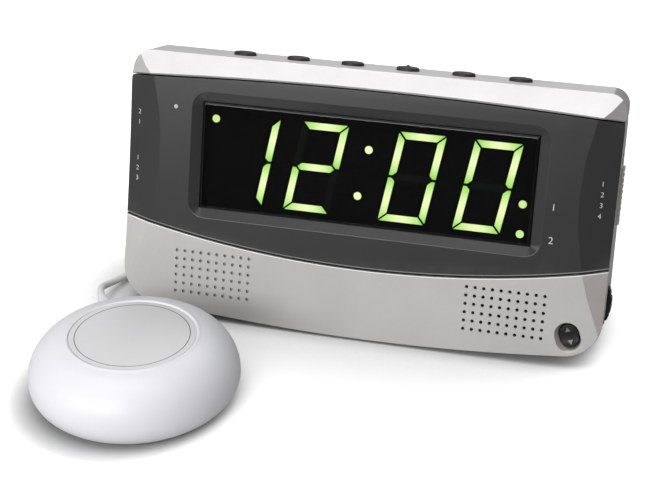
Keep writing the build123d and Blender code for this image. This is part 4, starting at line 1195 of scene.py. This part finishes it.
# Flat plate with equal sides, the first corner up
def plateMesh(sides, radius, thick):
    work = bmesh.new()
    turns = [math.pi / 2 + 2 * math.pi * side / sides for side in range(sides)]
    rows = []
    for height in (-thick / 2, thick / 2):
        spots = [(radius * math.cos(turn), radius * math.sin(turn), height) for turn in turns]
        rows.append([work.verts.new(Vector(spot) * mm) for spot in spots])
    low, high = rows
    work.faces.new(reversed(low))
    work.faces.new(high)
    for side in range(sides):
        after = (side + 1) % sides
        work.faces.new((low[side], low[after], high[after], high[side]))
    return finishMesh(work, "plate", meshLook["plateSmooth"])


def treeOf(nodeName):
    work = bmesh.new()
    work.from_mesh(nodes[nodeName].data)
    tree = BVHTree.FromBMesh(work)
    work.free()
    return tree


# On the surface behind one spot of the face
def markPlace(tree, x, v, up, lift):
    hit, normal, _, _ = tree.ray_cast(facePoint(x, v, markLook["above"]), -face["out"])
    up = (up - normal * up.dot(normal)).normalized()
    across = up.cross(normal).normalized()
    return axesMatrix(hit + normal * (lift * mm), across, up, across.cross(up).normalized())


def addMarks():
    tree = treeOf("front_bezel")
    whole = bmesh.new()
    for text, x, v, size in marks:
        if text == "dot":
            mesh = plateMesh(markLook["dotSides"], size / 2, markLook["thick"])
        else:
            mesh = numberMesh(text, size)
        mesh.transform(markPlace(tree, x, v, face["up"], markLook["thick"] / 2 - markLook["sink"]))
        whole.from_mesh(mesh)
    bmesh.ops.remove_doubles(whole, verts=whole.verts, dist=markLook["merge"])
    mesh = finishMesh(whole, "printedMarks", meshLook["plateSmooth"])
    addPiece("printedMarks", mesh, finishes["printInk"], "clock")


def addRockerMarks():
    look = rockerMarks
    tree = treeOf("rocker_button")
    corners = [Vector(corner) for corner in nodes["rocker_button"].bound_box]
    x, v, n = faceCoords(sum(corners, Vector()) / len(corners))
    turn = math.radians(look["turn"])
    along = Vector((-math.sin(turn), math.cos(turn)))
    whole = bmesh.new()
    for way in (1, -1):
        spot = Vector((x, v)) + along * (look["reach"] * way)
        up = (Vector((along.x, 0, 0)) + face["up"] * along.y) * way
        mesh = plateMesh(3, look["size"], look["thick"])
        mesh.transform(markPlace(tree, spot.x, spot.y, up, look["thick"] / 2 - look["sink"]))
        whole.from_mesh(mesh)
    mesh = finishMesh(whole, "rockerMarks", meshLook["plateSmooth"])
    addPiece("rockerMarks", mesh, finishes["signGrey"], "rocker")


addMarks()
addRockerMarks()
print("marks printed")

# Cord: free lead, coil behind the clock, tail up to the plug
cord = {
    "diameter": 3.0,
    "length": 1.5,
    "coilMiddle": (-36.525, 100.0),
    "coilLow": 3.0,
    "pitch": 3.9,
    "outRadius": 22.5,
    "layerTurns": (2.5, 2.5, 2.5, 2.75),
    "pointsPerTurn": 16,
    "lead": [
        (-109.37, -39.0, 9.4), (-113.844, -32.367, 9.4), (-113.8, -19.5, 4.8), (-110.5, -7.0, 2.2),
        (-107.8, 6.0, 1.6), (-108.4, 24.0, 1.6), (-103.0, 44.0, 1.6), (-88.0, 66.0, 1.9),
        (-66.0, 77.5, 3.0), (-39.525, 77.5, 3.0),
    ],
    "tail": [(-60.0, 97.0, 14.7), (-60.0, 86.0, 14.7), (-60.0, 70.0, 24.0), (-60.0, 59.3, 24.0)],
    "smoothSteps": 6,
    "roundSteps": 5,
    "bendFrom": (-108.0, 3.0, 1.7),
    "bendTo": (-112.6, -34.0, 9.4),
}


# Turns spiral in and out, and climb a layer in the half turn between
def coilPoints():
    points = []
    angle = -math.pi / 2
    radius = cord["outRadius"]
    height = cord["coilLow"]
    perTurn = cord["pointsPerTurn"]
    step = 2 * math.pi / perTurn
    middleX, middleY = cord["coilMiddle"]

    def put():
        points.append((middleX + radius * math.cos(angle), middleY + radius * math.sin(angle), height))

    put()
    layers = cord["layerTurns"]
    for layer, turns in enumerate(layers):
        way = -1 if layer % 2 == 0 else 1
        for _ in range(round(turns * perTurn)):
            angle += step
            radius += way * cord["pitch"] / perTurn
            put()
        if layer < len(layers) - 1:
            climbSteps = perTurn // 2
            start = height
            for climb in range(1, climbSteps + 1):
                angle += step
                share = climb / climbSteps
                height = start + cord["pitch"] * share * share * (3 - 2 * share)
                put()
    return points


def routeCurve(name, points):
    curve = bpy.data.curves.new(name, "CURVE")
    curve.dimensions = "3D"
    spline = curve.splines.new("NURBS")
    spline.points.add(len(points) - 1)
    for place, point in zip(spline.points, points):
        place.co = (*(Vector(point) * mm), 1)
    spline.order_u = 3
    spline.use_endpoint_u = True
    spline.resolution_u = cord["smoothSteps"]
    return curve


def addCord(finish):
    curve = routeCurve("cordRoute", cord["lead"] + coilPoints() + cord["tail"])
    path = [vertex.co.copy() for vertex in curveMesh(curve).vertices]
    curve.bevel_depth = cord["diameter"] / 2 * mm
    curve.bevel_resolution = cord["roundSteps"]
    curve.use_fill_caps = True
    tube = curveMesh(curve)
    for polygon in tube.polygons:
        polygon.use_smooth = True
    piece = newPiece("shakerCord", tube, finish)
    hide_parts("cord_lead", "cord_coil", "cord_tail")
    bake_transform(piece)


addCord(finishes["cordWhite"])
print("cord laid")

# Floor and light: the floor is lifted to white, less so where something stands close, which paints its
# shadow;
# near things its colour also darkens, as painted shadow
stage = {
    "floor": 8.0,
    "floorColor": tint(206, 206, 206),
    "floorCloud": tint(201, 201, 201),
    "cloudSize": 6.0,
    "floorRough": 0.9,
    "floorShine": 0.1,
    "shadeColor": tint(160, 160, 160),
    "shadeOpen": (0.3, 0.7),
    "lean": (0.5, 0.4, 0.77),  # towards the side the light comes from
    "lift": (0.25, 0.8),
    "liftOpen": (0.45, 0.9),
    "liftReach": 0.1,
    "contactOpen": (0.2, 0.8),
    "contactReach": 0.014,
    "lamps": [
        ("keyLamp", (-0.22, -1.15, 0.66), (-0.02, -0.03, 0.03), (0.55, 0.5), 5.8),
        ("topLamp", (-0.15, -0.33, 1.25), (0, 0, 0.03), (1.0, 1.0), 8.2),
        ("frontLamp", (-0.75, -1.1, 0.46), (-0.02, 0, 0.06), (1.1, 0.3), 4.4),
        ("backLamp", (0.15, 0.95, 0.85), (0, 0, 0.08), (1.2, 0.5), 6.0),
    ],
    "sky": tint(226, 228, 232),
    "skyStrength": 0.15,
}


# Rays that reach the camera straight or through the window
def seenRays(tree):
    path = addNode(tree, "ShaderNodeLightPath").outputs
    return mathNode(tree, "MAXIMUM", path["Is Camera Ray"], path["Is Transmission Ray"])


def openSky(tree, reach):
    lean = addNode(tree, "ShaderNodeCombineXYZ")
    for value, socket in zip(stage["lean"], lean.inputs):
        socket.default_value = value
    node = addNode(tree, "ShaderNodeAmbientOcclusion")
    feedNamed(tree, node, {"Distance": reach, "Normal": lean.outputs["Vector"]})
    return node.outputs["AO"]


def floorFinish():
    finish, tree, shader = newFinish("paleFloor")
    wide = openSky(tree, stage["liftReach"])
    near = openSky(tree, stage["contactReach"])
    cloud = noise(tree, objectCoords(tree), stage["cloudSize"], detail=3.0, rough=0.5)
    pale = mixColors(tree, cloud, stage["floorColor"], stage["floorCloud"])
    clear = spread(tree, wide, within=stage["shadeOpen"])
    feedNamed(tree, shader, {
        "Base Color": mixColors(tree, clear, stage["shadeColor"], pale),
        "Roughness": stage["floorRough"],
        "Specular IOR Level": stage["floorShine"],
    })
    lift = spread(tree, wide, to=stage["lift"], within=stage["liftOpen"])
    apart = spread(tree, near, within=stage["contactOpen"])
    light = addNode(tree, "ShaderNodeEmission")
    feedNamed(tree, light, {"Strength": product(tree, lift, apart, seenRays(tree))})
    both = addNode(tree, "ShaderNodeAddShader")
    feed(tree, shader.outputs["BSDF"], both.inputs[0])
    feed(tree, light.outputs["Emission"], both.inputs[1])
    feed(tree, both.outputs["Shader"], tree.nodes["Material Output"].inputs["Surface"])
    return finish


def addFloor():
    mesh = bpy.data.meshes.new("floor")
    half = stage["floor"] / 2
    mesh.from_pydata(
        [(-half, -half, 0), (half, -half, 0), (half, half, 0), (-half, half, 0)], [], [(0, 1, 2, 3)]
    )
    newPiece("floor", mesh, floorFinish())


def addLamps():
    for name, place, target, size, power in stage["lamps"]:
        data = bpy.data.lights.new(name, "AREA")
        data.shape = "RECTANGLE"
        data.size, data.size_y = size
        data.energy = power
        addAimed(name, data, place, Vector(target) - Vector(place))


# Soft grey light all round, seen as white
def addSky():
    world = bpy.data.worlds.new("studio")
    scene.world = world
    world.use_nodes = True
    tree = world.node_tree
    soft = tree.nodes["Background"]
    feedNamed(tree, soft, {"Color": stage["sky"], "Strength": stage["skyStrength"]})
    white = addNode(tree, "ShaderNodeBackground")
    feedNamed(tree, white, {"Color": (1, 1, 1, 1), "Strength": 1.0})
    mix = addNode(tree, "ShaderNodeMixShader")
    parts = (seenRays(tree), soft.outputs["Background"], white.outputs["Background"])
    for part, socket in zip(parts, mix.inputs):
        feed(tree, part, socket)
    feed(tree, mix.outputs["Shader"], tree.nodes["World Output"].inputs["Surface"])


addFloor()
addLamps()
addSky()
print("stage lit")
